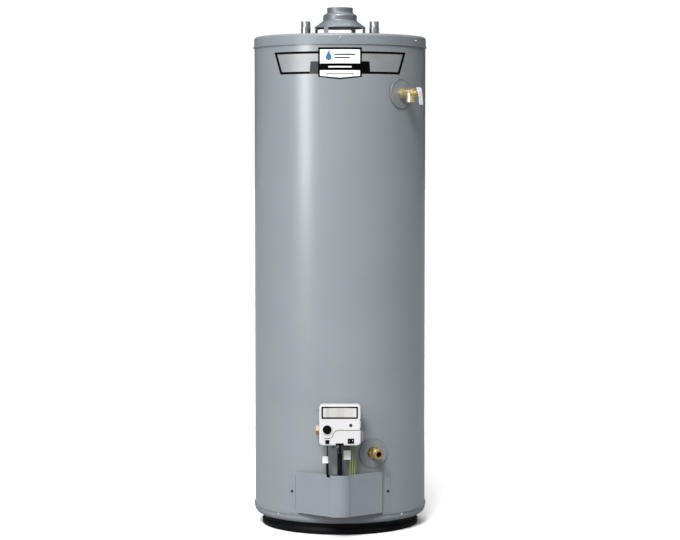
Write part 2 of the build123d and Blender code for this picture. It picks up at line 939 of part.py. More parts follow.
# ------------------------------------------------------------------ relief valve
tp_hex_end = disc_face + tp_hex_thickness
tp_seat = jacket_radius + tp_seat_depth
tp_chamber_end = tp_seat + tp_chamber_length
tp_barrel_end = tp_chamber_end + tp_guide_wall + tp_barrel_shoulder
tp_cavity_start = tp_chamber_end + tp_guide_wall
tp_cavity_end = tp_cavity_start + tp_spring_room
tp_neck_start = tp_cavity_end + tp_bonnet_wall
tp_neck_end = tp_neck_start + tp_neck_length
tp_pin_depth = tp_neck_end + pin_out
tp_outlet_depth = jacket_radius + tp_outlet_reach


def tp_valve_body():
    body = post(pipe_radius, thread_in, disc_face) + hexagon(tp_hex_flats, disc_face, tp_hex_end)
    body += post(tp_barrel_radius, tp_hex_end, tp_barrel_end)
    body += post(tp_bonnet_radius, tp_barrel_end, tp_neck_start)
    body += post(tp_neck_radius, tp_neck_start, tp_neck_end)
    outlet = Pos(0, 0, tp_outlet_depth) * Rot(90, 0, 0)
    body += outlet * post(tp_outlet_radius, 0, tp_outlet_drop)
    lug_round = Pos(0, pin_rise, tp_pin_depth) * Rot(0, 90, 0)
    for side in (-1, 1):
        near, far = sorted((side * lug_inner, side * (lug_inner + lug_sheet)))
        arm_end = tp_pin_depth + lug_radius / 2
        body += block(near, far, lug_arm_low, pin_rise - lug_arm_gap, tp_neck_start, arm_end)
        body += lug_round * post(lug_radius, near, far)
    body -= post(valve_bore, thread_in, tp_seat)
    body -= post(tp_chamber_radius, tp_seat, tp_chamber_end)
    body -= post(tp_stem_radius + running_clearance, tp_chamber_end, tp_neck_end + over_cut)
    body -= post(tp_spring_radius + tp_spring_clearance, tp_cavity_start, tp_cavity_end)
    body -= outlet * post(tp_outlet_bore, tp_outlet_drop - tp_outlet_thread, tp_outlet_drop)
    body -= outlet * post(tp_passage, tp_passage, tp_outlet_drop)
    body -= lug_round * post(pin_radius, -deep_cut, deep_cut)
    return facing(tp_angle, tp_height) * body


def tp_stem():
    head_start = tp_neck_end + tp_stem_proud
    stem = post(tp_disc_radius, tp_seat, tp_seat + tp_disc_thickness)
    stem += post(tp_stem_radius, tp_seat, head_start)
    stem += post(tp_stem_head_radius, head_start, head_start + tp_stem_head_height)
    stem += post(tp_spring_radius - over_cut, tp_cavity_start, tp_cavity_start + tp_spring_plate)
    return facing(tp_angle, tp_height) * stem


def tp_spring():
    start = tp_cavity_start + tp_spring_plate
    coil = ring(tp_spring_radius, tp_spring_radius - tp_spring_wall, start, tp_cavity_end)
    return facing(tp_angle, tp_height) * coil


def from_pin(offsets):
    """Points given from the pin as (out, height), as (distance out, height) in the valve's frame."""
    return [(tp_pin_depth + out, pin_rise + height) for out, height in offsets]


def tp_lever():
    inner = from_pin(lever_bends)
    outer = [(out + lever_sheet, height + lever_sheet / 2) for out, height in inner[:2]]
    outer += [(out + lever_sheet, height) for out, height in inner[2:]]
    strip = side_profile(inner + list(reversed(outer)), lever_half_width)
    cap = from_pin(lever_cap_back + lever_cap_front)
    cheeks = side_profile(cap, lever_half_width) - side_profile(cap, lug_inner + lug_sheet + pin_end_play)
    hole = post(pin_radius + running_clearance, -deep_cut, deep_cut)
    lever = strip + cheeks - Pos(0, pin_rise, tp_pin_depth) * Rot(0, 90, 0) * hole
    return facing(tp_angle, tp_height) * lever


def tp_lever_pin():
    head_start = lever_half_width + pin_end_play
    pin = post(pin_radius, -head_start, head_start)
    pin += post(pin_head_radius, head_start, head_start + pin_head_height)
    pin += post(pin_head_radius, -head_start - pin_head_height, -head_start)
    return facing(tp_angle, tp_height) * Pos(0, pin_rise, tp_pin_depth) * Rot(0, 90, 0) * pin


def tp_probe():
    probe = post(probe_radius, thread_in - probe_length, disc_face)
    span, half = valve_bore - spider_clearance, spider_sheet / 2
    spider = block(-span, span, -half, half, disc_face - spider_depth, disc_face)
    return facing(tp_angle, tp_height) * (probe + spider + Rot(0, 0, 90) * spider)


def valve_cover_discs():
    disc = post(cover_disc_radius, jacket_radius, disc_face)
    disc += ring(cover_disc_radius, cover_disc_radius - cover_disc_rim, disc_face, disc_face + cover_disc_lip)
    disc -= post(pipe_radius, jacket_radius, disc_face)
    return Part() + [facing(angle, height) * disc for angle, height in side_places()[:2]]


# ------------------------------------------------------------------ drain valve
gasket_face = disc_face + gasket_thickness
drain_hex_end = gasket_face + drain_hex_thickness
drain_stem_depth = drain_hex_end + drain_stem_offset
drain_barrel_end = drain_hex_end + drain_barrel_length
chamber_top = plug_height - chamber_drop + plug_travel + chamber_end_gap
drain_bonnet_top = chamber_top + drain_bonnet_wall


def upright_in_drain():
    """Upright axis of the drain valve's stem, in its facing frame."""
    return Pos(0, 0, drain_stem_depth) * Rot(-90, 0, 0)


def drain_gasket():
    return facing(drain_angle, drain_height) * ring(gasket_radius, pipe_radius, disc_face, gasket_face)


def drain_valve_body():
    upright = upright_in_drain()
    body = post(pipe_radius, thread_in, gasket_face) + hexagon(drain_hex_flats, gasket_face, drain_hex_end)
    body += post(drain_barrel_radius, drain_hex_end, drain_barrel_end)
    body += post(hose_thread_radius, drain_barrel_end, drain_barrel_end + hose_thread_length)
    body += upright * post(drain_bonnet_radius, 0, drain_bonnet_top)
    body -= post(drain_inlet_bore, thread_in, drain_stem_depth)
    body -= post(hose_bore, drain_stem_depth, drain_barrel_end + hose_thread_length)
    body -= upright * post(plug_radius + plug_clearance, -chamber_drop, chamber_top)
    body -= upright * post(drain_stem_radius + running_clearance, chamber_top, drain_bonnet_top)
    return facing(drain_angle, drain_height) * body


def drain_plug():
    plug = upright_in_drain() * post(plug_radius, -chamber_drop, plug_height - chamber_drop)
    return facing(drain_angle, drain_height) * plug


def drain_stem():
    top = drain_bonnet_top + drain_stem_proud
    stem = post(drain_stem_radius, plug_height - chamber_drop, top)
    slot_half = drain_slot_width / 2
    stem -= block(-drain_stem_radius, drain_stem_radius, -slot_half, slot_half, top - drain_slot_depth, top)
    return facing(drain_angle, drain_height) * upright_in_drain() * stem


# ------------------------------------------------------------------ gas control
control_plate_face = jacket_radius + cover_back
control_face = control_plate_face + cover_depth
control_boss_face = control_plate_face + boss_depth
manifold_depth = jacket_radius + manifold_out
pilot_depth = jacket_radius + pilot_tube_out
lead_depth = jacket_radius + lead_out


def cover_slab(inset, back, front):
    """The cover's outline, moved in by a distance, as a slab."""
    side, low, high = cover_half_width - inset, -cover_below + inset, cover_above - inset
    return rounded_slab(-side, side, low, high, back, front, cover_corner - inset)


def window_slab(inset, back, front):
    """The display window's outline, moved in by a distance, as a slab."""
    left, right = window_left + inset, window_right - inset
    return rounded_slab(left, right, window_low + inset, window_high - inset, back, front, window_corner)


def control_ears():
    """Screw ears at the sides of the valve body."""
    back = control_plate_face - ear_thickness
    solids = []
    for reach, low, high in ears:
        inside = math.copysign(body_half_width - ear_grip, reach)
        solids.append(block(min(reach, inside), max(reach, inside), low, high, back, control_plate_face))
    return solids


def gas_valve_body():
    start = jacket_radius + body_start
    body = post(hub_radius, spud_out, start)
    body += block(-body_half_width, body_half_width, -cover_below, body_above, start, control_plate_face)
    body += cover_slab(0.0, control_plate_face - plate_thickness, control_plate_face)
    body += control_ears()
    boss_low = -cover_below + cover_wall + boss_gap
    half = boss_half_width
    body += block(-half, half, boss_low, boss_above, control_plate_face, control_boss_face)
    body -= post(pipe_radius, spud_out, spud_out + hub_socket_depth)
    shaft_bottom = control_boss_face - shaft_grip - knob_travel - over_cut
    body -= post(shaft_radius + running_clearance, shaft_bottom, control_boss_face, knob_x, knob_y)
    button_bottom = control_boss_face - shaft_grip
    button_hole = button_stem_radius + running_clearance
    body -= post(button_hole, button_bottom, control_boss_face, button_x, button_y)
    body -= socket_slab(control_boss_face - socket_seat)
    inlet = Pos(-body_half_width, inlet_y, jacket_radius + inlet_depth) * Rot(0, 90, 0)
    return facing(0, control_height) * (body - inlet * post(inlet_bore, 0, inlet_bore_depth))


def socket_slab(back):
    """The lead socket's block, from a depth out to just proud of the cover."""
    return block(socket_left, socket_right, socket_low, socket_high, back, control_face + socket_proud)


def groove_cutter():
    """S-shaped groove across the cover's face."""
    level = control_face - groove_depth
    start = (cover_half_width + over_cut, groove_right_level)
    shoulder = groove_bends[0]
    path = Line(start, shoulder) + Spline(*groove_bends, tangents=[(-1, 0), (-1, 0)])
    return extrude(Pos(0, 0, level) * trace(path, groove_width), groove_depth + over_cut)


def button_opening():
    """Square opening for the igniter's button."""
    half = button_size / 2 + button_gap
    back, front = control_face - deep_cut, control_face + over_cut
    return block(button_x - half, button_x + half, button_y - half, button_y + half, back, front)


def clip_notches():
    """Notches for the cover's clips at its right edge."""
    left, right = cover_half_width - clip_notch, cover_half_width + over_cut
    back, front = control_face - clip_notch_depth, control_face + over_cut
    half = clip_notch_half
    return [block(left, right, level - half, level + half, back, front) for level in clip_notch_levels]


def control_cover():
    cover = cover_slab(0.0, control_plate_face, control_face)
    front_edges = cover.faces().sort_by(Axis.Z)[-1].edges()
    cover = fillet(front_edges, cover_edge)
    back, front = control_face - deep_cut, control_face + knob_ring_proud
    knob_hole = knob_radius + knob_gap
    cover += post(knob_hole + knob_ring_width, control_face - over_cut, front, knob_x, knob_y)
    cover -= cover_slab(cover_wall, control_plate_face, control_face - cover_wall)
    cover -= post(knob_hole, back, front, knob_x, knob_y)
    cover -= post(light_radius, back, front, light_x, light_y)
    cover -= button_opening()
    cover -= window_slab(0.0, control_face - recess_depth, control_face + over_cut)
    cover -= socket_slab(back)
    cover -= port_slab(over_cut)
    cover -= groove_cutter()
    return facing(0, control_height) * (cover - clip_notches())


def port_slab(extra):
    """The black port in the cover's lower edge."""
    low, back, front = -cover_below - extra, control_face - port_depth, control_face + extra
    return block(port_left, port_right, low, -cover_below + port_height, back, front)


def control_window():
    pane = window_slab(bezel_width, control_face - recess_depth, control_face - window_sunk)
    return facing(0, control_height) * pane


def window_bezel():
    front = control_face + bezel_proud
    frame = window_slab(0.0, control_face - recess_depth, front)
    frame -= window_slab(bezel_width, control_face - recess_depth, front)
    break_low, break_back = window_high - bezel_width, control_face - bezel_break_depth
    frame -= block(-bezel_break, bezel_break, break_low, window_high, break_back, front)
    return facing(0, control_height) * frame


def control_trim():
    return Part() + [window_bezel(), lead_socket(), lead_port()]


def lead_socket():
    plug = socket_slab(control_boss_face - socket_seat)
    back, front = control_face - socket_pin_depth, control_face + socket_proud
    for share in socket_pins:
        x = socket_left + (socket_right - socket_left) * share
        plug -= block(x - socket_pin_half, x + socket_pin_half, socket_pin_low, socket_pin_high, back, front)
    return facing(0, control_height) * plug


def lead_port():
    """Black rubber port between the cover and the tubes."""
    left, right, low = port_left + port_wall, port_right - port_wall, -cover_below
    back = control_face - port_depth + port_back
    mouth = block(left, right, low, low + port_wall, back, control_face)
    return facing(0, control_height) * (port_slab(0.0) - mouth)


def status_light():
    lens = post(light_radius, control_face - cover_wall, control_face - light_sunk, light_x, light_y)
    return facing(0, control_height) * lens


knob_front = control_face + knob_proud
knob_back = knob_front - knob_thickness
knob_hub_back = knob_back - knob_hub_length
shaft_front = knob_back + shaft_in_knob


def knob_shaft():
    shaft = post(shaft_radius, control_boss_face - shaft_grip, shaft_front, knob_x, knob_y)
    return facing(0, control_height) * shaft


def temperature_knob():
    knob = post(knob_radius, knob_back, knob_front) + post(knob_hub_radius, knob_hub_back, knob_back)
    flute = Pos(knob_radius + knob_flute_offset, 0, 0) * post(knob_flute_radius, knob_back, knob_front)
    knob -= [Rot(0, 0, 360.0 * step / knob_flutes) * flute for step in range(knob_flutes)]
    half, reach = knob_rib_width / 2, knob_radius - knob_rib_inset
    knob += block(-half, half, -reach, reach, knob_front, knob_front + knob_rib_height)
    knob -= post(shaft_radius + running_clearance, knob_hub_back, shaft_front)
    return facing(0, control_height) * Pos(knob_x, knob_y, 0) * knob


def igniter_button():
    half = button_size / 2
    front = control_face + button_proud
    back = front - button_depth
    cap = block(button_x - half, button_x + half, button_y - half, button_y + half, back, front)
    stem_start = control_boss_face - shaft_grip + button_travel + button_stem_gap
    stem = post(button_stem_radius, stem_start, back, button_x, button_y)
    return facing(0, control_height) * (cap + stem)


def gas_inlet_fitting():
    start = -body_half_width
    end = -cover_half_width - inlet_reach
    turn = Pos(0, inlet_y, jacket_radius + inlet_depth) * Rot(0, -90, 0)
    fitting = turn * hexagon(inlet_flats, -start, -end)
    bore = turn * post(inlet_bore, -start, -end)
    return facing(0, control_height) * (fitting - bore)


def thermowell():
    well = post(well_radius, flue_radius + well_flue_gap, thread_in)
    well += post(pipe_radius, thread_in, spud_out + hub_socket_depth)
    return facing(0, control_height) * well


# ------------------------------------------------------------------ tubes and leads
bracket_level = manifold_level + manifold_bend + tube_cone + orifice_height
burner_level = bracket_level + bracket_sheet + mixer_height
pilot_plate_low = burner_level - pilot_sheet


def manifold_route():
    """The gas tube's centre line from the control down, in through the door and up to the orifice."""
    return [
        (manifold_x, -manifold_depth, control_bottom),
        (manifold_x, -manifold_depth, manifold_level),
        (manifold_x, 0, manifold_level),
        (manifold_x, 0, bracket_level - orifice_height),
    ]


def manifold_tube():
    return bent_tube(manifold_radius, manifold_route(), manifold_bend)


def manifold_nut():
    x, y = manifold_x, -manifold_depth
    nut = hexagon(manifold_nut_flats, control_bottom - manifold_nut_height, control_bottom, x, y)
    return nut - post(manifold_radius, control_bottom - manifold_nut_height, control_bottom, x, y)


def pilot_tube():
    route = [
        (0, -pilot_depth, control_bottom),
        (0, -pilot_depth, pilot_level),
        (pilot_x, pilot_y, pilot_level),
        (pilot_x, pilot_y, pilot_plate_low - pilot_block),
    ]
    return bent_tube(pilot_tube_radius, route, pilot_bend)


def igniter_lead():
    route = [
        (igniter_lead_x, -lead_depth, control_bottom),
        (igniter_lead_x, -lead_depth, igniter_lead_level),
        (igniter_lead_x, electrode_start, igniter_lead_level),
    ]
    return bent_tube(igniter_lead_radius, route, lead_bend)


def thermopile_leads():
    leads = []
    for top_x, low_x, rise, shift in thermopile_leads_route:
        y = -lead_depth + shift
        door_face = -math.sqrt((tank_radius + door_gasket) ** 2 - low_x**2)
        level = base_height + rise
        route = [(top_x, y, control_bottom), (top_x, y, control_bottom - lead_turn_drop)]
        if low_x == top_x:
            route.pop()
        route += [(low_x, y, level), (low_x, door_face, level)]
        leads.append(bent_tube(thermopile_lead_radius, route, lead_bend))
    return Part() + leads


def heat_sleeves():
    y = -lead_depth
    low, high = door_top - igniter_sleeve_dip, control_bottom - igniter_sleeve_drop
    sleeve = ring(igniter_sleeve_radius, igniter_lead_radius, low, high, igniter_lead_x, y)
    toe = block(
        igniter_lead_x + igniter_lead_radius + sleeve_foot_gap,
        igniter_lead_x + sleeve_foot,
        y - igniter_sleeve_radius,
        y + igniter_sleeve_radius,
        low,
        low + sleeve_foot_height,
    )
    pilot_top = control_bottom - pilot_sleeve_drop
    pilot_low = door_top - pilot_sleeve_dip
    pilot = ring(pilot_sleeve_radius, pilot_tube_radius, pilot_low, pilot_top, 0, -pilot_depth)
    return Part() + [sleeve + toe, pilot]


def wire_tags():
    front = -lead_depth - igniter_lead_radius
    tags = [
        block(left, right, front - tag_sheet, front, control_bottom - low, control_bottom - high)
        for left, right, low, high in tag_boxes
    ]
    return Part() + tags


def lead_clips():
    """Black ring clip and folded wrap that hold the leads under the control."""
    clip_level = control_bottom - clip_ring_drop
    clip = Pos(clip_ring_x, -lead_depth, clip_level) * Rot(90, 0, 0)
    loop = clip * ring(clip_ring_radius, clip_ring_bore, -clip_ring_width / 2, clip_ring_width / 2)
    stalk = block(
        clip_ring_x - clip_stalk / 2,
        clip_ring_x + clip_stalk / 2,
        -lead_depth - clip_ring_width / 2,
        -lead_depth + clip_ring_width / 2,
        clip_level + clip_ring_bore,
        control_bottom,
    )
    wrap_y = (-lead_depth - wrap_thickness / 2, -lead_depth + wrap_thickness / 2)
    wrap = block(wrap_left, wrap_right, *wrap_y, control_bottom - wrap_height, control_bottom)
    return Part() + [loop + stalk, wrap]


# ------------------------------------------------------------------ combustion chamber
def chamber_floor():
    return ring(tank_inner, arrestor_opening, pan_floor, pan_floor + floor_sheet)


def flame_arrestor():
    low = pan_floor + floor_sheet
    plate = post(arrestor_radius, low, low + arrestor_thickness)
    reach = int(arrestor_opening / arrestor_pitch)
    holes = []
    for column in range(-reach, reach + 1):
        for row in range(-reach, reach + 1):
            x, y = column * arrestor_pitch, row * arrestor_pitch
            if math.hypot(x, y) < arrestor_opening - arrestor_hole - arrestor_rim:
                holes.append(post(arrestor_hole, low, low + arrestor_thickness, x, y))
    return plate - holes


def burner_head():
    low = burner_level
    high = low + burner_thickness
    inner = burner_radius - burner_sheet
    shell = post(burner_radius, low, high) - post(inner, low + burner_sheet, high - burner_sheet)
    shell -= post(mixer_radius - burner_sheet, low, low + burner_sheet)
    port = post(burner_port_radius, inner - burner_port_reach, burner_radius + burner_port_reach)
    level = (low + high) / 2
    return shell - [facing(360.0 * step / burner_ports, level) * port for step in range(burner_ports)]


def burner_mixer():
    low = bracket_level + bracket_sheet
    return ring(mixer_radius, mixer_radius - burner_sheet, low, burner_level) + mixer_plate()


def mixer_plate():
    """Plate on the orifice that carries the mixer and lets its air in."""
    plate = post(bracket_radius, bracket_level, bracket_level + bracket_sheet)
    plate -= post(bracket_hole, bracket_level, bracket_level + bracket_sheet, manifold_x)
    air = post(air_hole_radius, bracket_level, bracket_level + bracket_sheet, air_hole_circle)
    angles = [air_hole_first_angle + 360.0 * step / air_hole_count for step in range(air_hole_count)]
    return plate - [Rot(0, 0, angle) * air for angle in angles]


def manifold_fittings():
    return Part() + [manifold_nut(), gas_orifice()]


def gas_orifice():
    low = bracket_level - orifice_height
    orifice = hexagon(orifice_flats, low, bracket_level, manifold_x)
    return orifice - post(orifice_bore, low, bracket_level, manifold_x)


def pilot_burner():
    left, right = pilot_x - pilot_plate_left, pilot_x + pilot_plate_right
    front, back = pilot_y - pilot_plate_front, -burner_radius + pilot_plate_overlap
    plate = block(left, right, front, back, pilot_plate_low, burner_level)
    half_x, half_y = pilot_block_half_x, pilot_block_half_y
    body_low = pilot_plate_low - pilot_block
    body = Pos(pilot_x, pilot_y, 0) * block(-half_x, half_x, -half_y, half_y, body_low, pilot_plate_low)
    clamp_radius = electrode_radius + electrode_clamp
    clamp_start = clamp_back_reach - electrode_end
    clamp = electrode_axis() * post(clamp_radius, clamp_start, -electrode_start - clamp_front_inset)
    arm = block(
        igniter_lead_x + electrode_radius,
        pilot_x - half_x + pilot_arm_inset,
        pilot_y - half_y,
        pilot_y - half_y + pilot_arm_width,
        igniter_lead_level - pilot_arm_half_height,
        igniter_lead_level + pilot_arm_half_height,
    )
    bracket = plate + body + clamp + arm
    bore = post(electrode_radius, -electrode_end - deep_cut, -electrode_start + deep_cut)
    bracket -= electrode_axis() * bore
    sensor_hole = post(thermopile_radius, pilot_plate_low, burner_level, thermopile_x, thermopile_y)
    return bracket - sensor_hole


def electrode_axis():
    """Axis of the spark electrode, pointing to the front."""
    return Pos(igniter_lead_x, 0, igniter_lead_level) * Rot(90, 0, 0)


def thermopile():
    low, high = burner_level - thermopile_drop, burner_level + thermopile_rise
    return post(thermopile_radius, low, high, thermopile_x, thermopile_y)


def spark_electrode():
    body = post(electrode_radius, -electrode_end, -electrode_start)
    wire = post(electrode_wire, -electrode_end - electrode_wire_length, -electrode_end)
    return electrode_axis() * (body + wire)


def pilot_sensors():
    return Part() + [thermopile(), spark_electrode()]


def inner_door_holes(inner, outer):
    """Holes through the inner door for the tubes and the leads."""
    share = (pilot_depth - outer) / (pilot_depth + pilot_y)
    holes = [
        (manifold_radius + manifold_hole_clearance, manifold_x, manifold_level),
        (pilot_tube_radius + pilot_hole_clearance, pilot_x * share, pilot_level),
        (igniter_lead_radius + igniter_hole_clearance, igniter_lead_x, igniter_lead_level),
    ]
    for _, low_x, rise, _ in thermopile_leads_route:
        holes.append((thermopile_lead_radius, low_x, base_height + rise))
    start = inner - deep_cut
    return [Pos(x, 0, level) * Rot(90, 0, 0) * post(radius, start, outer) for radius, x, level in holes]


def inner_door():
    inner = tank_radius + door_gasket
    outer = inner + inner_door_sheet
    half = inner_door_half_angle
    door = sector(outer, inner, inner_door_low, inner_door_high, -half, half)
    sight_hole = post(sight_radius, inner - over_cut, outer + over_cut)
    door -= facing(sight_angle, base_height + sight_rise) * sight_hole
    return door - inner_door_holes(inner, outer) - inner_screw_holes()


def inner_door_gasket():
    outer = tank_radius + door_gasket
    half = inner_door_half_angle
    pad = sector(outer, tank_radius, inner_door_low, inner_door_high, -half, half)
    return pad - burner_window(outer + over_cut, tank_radius - over_cut) - inner_screw_holes()


def sight_glass():
    middle = tank_radius + door_gasket + inner_door_sheet / 2
    glass = post(sight_radius, middle - sight_thickness / 2, middle + sight_thickness / 2)
    return facing(sight_angle, base_height + sight_rise) * glass


def inner_door_screws():
    face = tank_radius + door_gasket + inner_door_sheet
    screw = post(inner_screw_radius, tank_inner, face + inner_screw_seat)
    screw += hexagon(inner_screw_flats, face + inner_screw_lift, face + inner_screw_head)
    return Part() + [facing(angle, height) * screw for angle, height in inner_screw_places()]


# ------------------------------------------------------------------ outer door
def door_plan(inset):
    """Plan outline of the outer door's panels and nose, closed behind them, moved in by a distance."""
    step_y = -math.sqrt(jacket_radius**2 - door_half_width**2) - door_step
    side = door_half_width
    nose_left, nose_right = in_plan(-nose_half_width, nose_edge_out), in_plan(nose_half_width, nose_edge_out)
    left = [Line((-side, 0), (-side, step_y)), Line((-side, step_y), nose_left)]
    nose = ThreePointArc(nose_left, in_plan(0, nose_out), nose_right)
    right = [Line(nose_right, (side, step_y)), Line((side, step_y), (side, 0))]
    outline = make_face(Curve() + left + [nose] + right + [Line((side, 0), (-side, 0))])
    return offset(outline, -inset, kind=Kind.INTERSECTION) if inset else outline


def nose_bead(low):
    """Raised bead across the nose of the outer door."""
    bead = extrude(Pos(0, 0, low) * door_plan(-nose_bead_proud), nose_bead_height)
    bead -= extrude(Pos(0, 0, low) * door_plan(door_sheet / 2), nose_bead_height)
    half = nose_half_width - nose_bead_end
    return bead & block(-half, half, -jacket_radius * 2, -jacket_radius, low, low + nose_bead_height)


def outer_door():
    inner_radius = jacket_radius + door_gap
    height = door_top - door_low
    panel = extrude(Pos(0, 0, door_low) * door_plan(0.0), height)
    panel -= extrude(Pos(0, 0, door_low) * door_plan(door_sheet), height)
    panel -= post(inner_radius, door_low, door_top)
    far_front = -jacket_radius * 2
    panel &= block(-door_half_width, door_half_width, far_front, -door_side_end, door_low, door_top)
    panel += [nose_bead(level) for level in (door_low + nose_bead_inset, door_top - nose_bead_inset)]
    face = inner_radius + door_sheet
    for side in (-1, 1):
        panel += flange_strip(face, inner_radius, flange_low, door_top, 0.0, flange_width, side)
        rib_low, rib_high = flange_low + flange_rib_shortfall, door_top - flange_rib_shortfall
        rib_face = face + flange_rib_proud
        panel += flange_strip(rib_face, face, rib_low, rib_high, flange_rib_left, flange_rib_width, side)
        for row in (-1, 0, 1):
            level = flange_screw_level + row * flange_hole_spacing
            radius = flange_hole_radius if row else door_screw_radius
            hole = post(radius, jacket_radius, rib_face)
            panel -= facing(side * flange_angle(flange_screw_inset), level) * hole
    return panel - block(notch_left, notch_right, far_front, -jacket_radius, door_top - notch_depth, door_top)


def outer_door_screws():
    face = jacket_radius + door_gap + door_sheet
    screw = post(door_screw_radius, face - door_screw_grip, face + door_screw_seat)
    screw += post(door_screw_head, face + door_screw_lift, face + door_screw_height)
    angle = flange_angle(flange_screw_inset)
    return Part() + [facing(side * angle, flange_screw_level) * screw for side in (-1, 1)]


# ------------------------------------------------------------------ every node
NODES = (
    jacket_shell,
    top_pan,
    bottom_pan,
    pan_screws,
    base_filter_ring,
    support_feet,
    front_label,
    tank_shell,
    tank_heads,
    tank_spuds,
    flue_tube,
    flue_baffle,
    foam_insulation,
    chamber_insulation,
    pipe_nipples,
    dip_tube,
    anode_rod,
    draft_hood,
    draft_hood_legs,
    tp_valve_body,
    tp_stem,
    tp_spring,
    tp_lever,
    tp_lever_pin,
    tp_probe,
    valve_cover_discs,
    drain_gasket,
    drain_valve_body,
    drain_plug,
    drain_stem,
    gas_valve_body,
    control_cover,
    control_window,
    control_trim,
    status_light,
    knob_shaft,
    temperature_knob,
    igniter_button,
    gas_inlet_fitting,
    thermowell,
    manifold_tube,
    manifold_fittings,
    pilot_tube,
    igniter_lead,
    thermopile_leads,
    heat_sleeves,
    wire_tags,
    lead_clips,
    chamber_floor,
    flame_arrestor,
    burner_head,
    burner_mixer,
    pilot_burner,
    pilot_sensors,
    inner_door,
    inner_door_gasket,
    sight_glass,
    inner_door_screws,
    outer_door,
    outer_door_screws,
)

os.makedirs("parts", exist_ok=True)
for node in NODES:
    export_step(node(), f"parts/{node.__name__}.step")
    print(node.__name__)
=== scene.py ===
"""Looks of a tall gas-fired tank water heater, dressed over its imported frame.

Metres, +Z up, and the front faces -Y. Each sub-assembly is a class that holds its sizes, makes its own meshes and
gives its pieces and frame nodes their finishes. A facing frame stands at an angle round the jacket: x to the right,
y up and depth straight out from the tank's axis.
"""

import logging
import math
from dataclasses import dataclass
from enum import Enum
from typing import Protocol, Sequence

import bmesh
import bpy
from mathutils import Matrix, Vector


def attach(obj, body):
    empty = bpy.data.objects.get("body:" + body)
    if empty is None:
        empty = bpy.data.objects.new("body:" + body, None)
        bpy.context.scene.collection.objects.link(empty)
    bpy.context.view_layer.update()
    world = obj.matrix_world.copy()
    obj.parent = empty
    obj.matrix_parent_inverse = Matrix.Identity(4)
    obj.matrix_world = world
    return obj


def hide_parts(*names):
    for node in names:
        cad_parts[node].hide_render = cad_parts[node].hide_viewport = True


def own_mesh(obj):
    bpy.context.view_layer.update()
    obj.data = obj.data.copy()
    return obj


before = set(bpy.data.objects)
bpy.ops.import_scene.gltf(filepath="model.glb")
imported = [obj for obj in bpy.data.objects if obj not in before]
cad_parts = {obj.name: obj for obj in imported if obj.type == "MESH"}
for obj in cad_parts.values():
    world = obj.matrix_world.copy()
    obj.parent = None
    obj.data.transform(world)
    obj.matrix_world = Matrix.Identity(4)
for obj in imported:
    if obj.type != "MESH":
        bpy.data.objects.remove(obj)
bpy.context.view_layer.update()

MM = 0.001
HEATER = "heater"
MERGE = 1e-6  # corners closer than this are one corner
CREASE = math.radians(35)  # smooth shading stops at edges sharper than this
BEVELLED = math.radians(40)  # a bevel rounds edges sharper than this
log = logging.getLogger("water_heater")

Tree = bpy.types.NodeTree
Socket = bpy.types.NodeSocket
Mesh = bpy.types.Mesh
Colour = tuple[float, float, float, float]
Point = tuple[float, float]
Size = tuple[float, float, float]
Column = tuple[float, float, float]


# ------------------------------------------------------------------ node helpers
def linear(hex_code: str) -> Colour:
    """Turn an sRGB hex code into linear colour.

    Args:
        hex_code: Six hex digits.

    Returns:
        Linear red, green, blue and a full alpha.
    """
    channels = []
    for start in (0, 2, 4):
        value = int(hex_code[start : start + 2], 16) / 255
        channels.append(value / 12.92 if value <= 0.04045 else ((value + 0.055) / 1.055) ** 2.4)
    return channels[0], channels[1], channels[2], 1.0


def add_node(tree: Tree, kind: str, inputs: dict | None = None, **settings: object) -> bpy.types.Node:
    """Add one node to a tree.

    Args:
        tree: The tree that gets the node.
        kind: The node's type name.
        inputs: Constants, or sockets to link from, by input name or number.
        **settings: The node's own properties.

    Returns:
        The new node.
    """
    node = tree.nodes.new(kind)
    for name, value in settings.items():
        setattr(node, name, value)
    for name, value in (inputs or {}).items():
        socket = node.inputs[name]
        if isinstance(value, Socket):
            tree.links.new(value, socket)
        else:
            socket.default_value = value
    return node


def math_node(tree: Tree, operation: str, *values: object) -> Socket:
    """Add a math node and return its result."""
    inputs = dict(enumerate(values))
    return add_node(tree, "ShaderNodeMath", inputs, operation=operation).outputs[0]


def mapped(tree: Tree, value: Socket, source: Point, target: Point = (0.0, 1.0)) -> Socket:
    """Map a value from one range to another, and hold it there.

    Args:
        tree: The tree that gets the node.
        value: The value.
        source: The range it is taken from.
        target: The range it is mapped to.

    Returns:
        The mapped value.
    """
    inputs = {"Value": value, "From Min": source[0], "From Max": source[1], "To Min": target[0], "To Max": target[1]}
    return add_node(tree, "ShaderNodeMapRange", inputs).outputs[0]


def mixed(tree: Tree, share: Socket, first: Colour | Socket, second: Colour) -> Socket:
    """Mix two colours.

    Args:
        tree: The material's tree.
        share: How much of the second colour shows.
        first: A colour or a socket.
        second: A colour.

    Returns:
        The mixed colour.
    """
    node = add_node(tree, "ShaderNodeMix", {"Factor": share, 6: first, 7: second}, data_type="RGBA")
    return node.outputs[2]


def along(tree: Tree, vector: Socket, axis: int) -> Socket:
    """Return one part of a vector, by the number of its axis."""
    return add_node(tree, "ShaderNodeSeparateXYZ", {"Vector": vector}).outputs[axis]


# ------------------------------------------------------------------ finishes
class Grain(Enum):
    """The fine relief that a finish is recognised by."""

    ORANGE_PEEL = "orange peel of sprayed enamel"
    CAST = "sand-cast skin"
    SPANGLE = "zinc crystals"
    BRUSHED = "drawn or brushed lines"
    MOULDED = "spark-eroded mould texture"
    BRAID = "crossed yarns of a sleeve"
    CELLS = "foam cells"
    FIBRES = "matted fibres"
    PULP = "paper fibres"


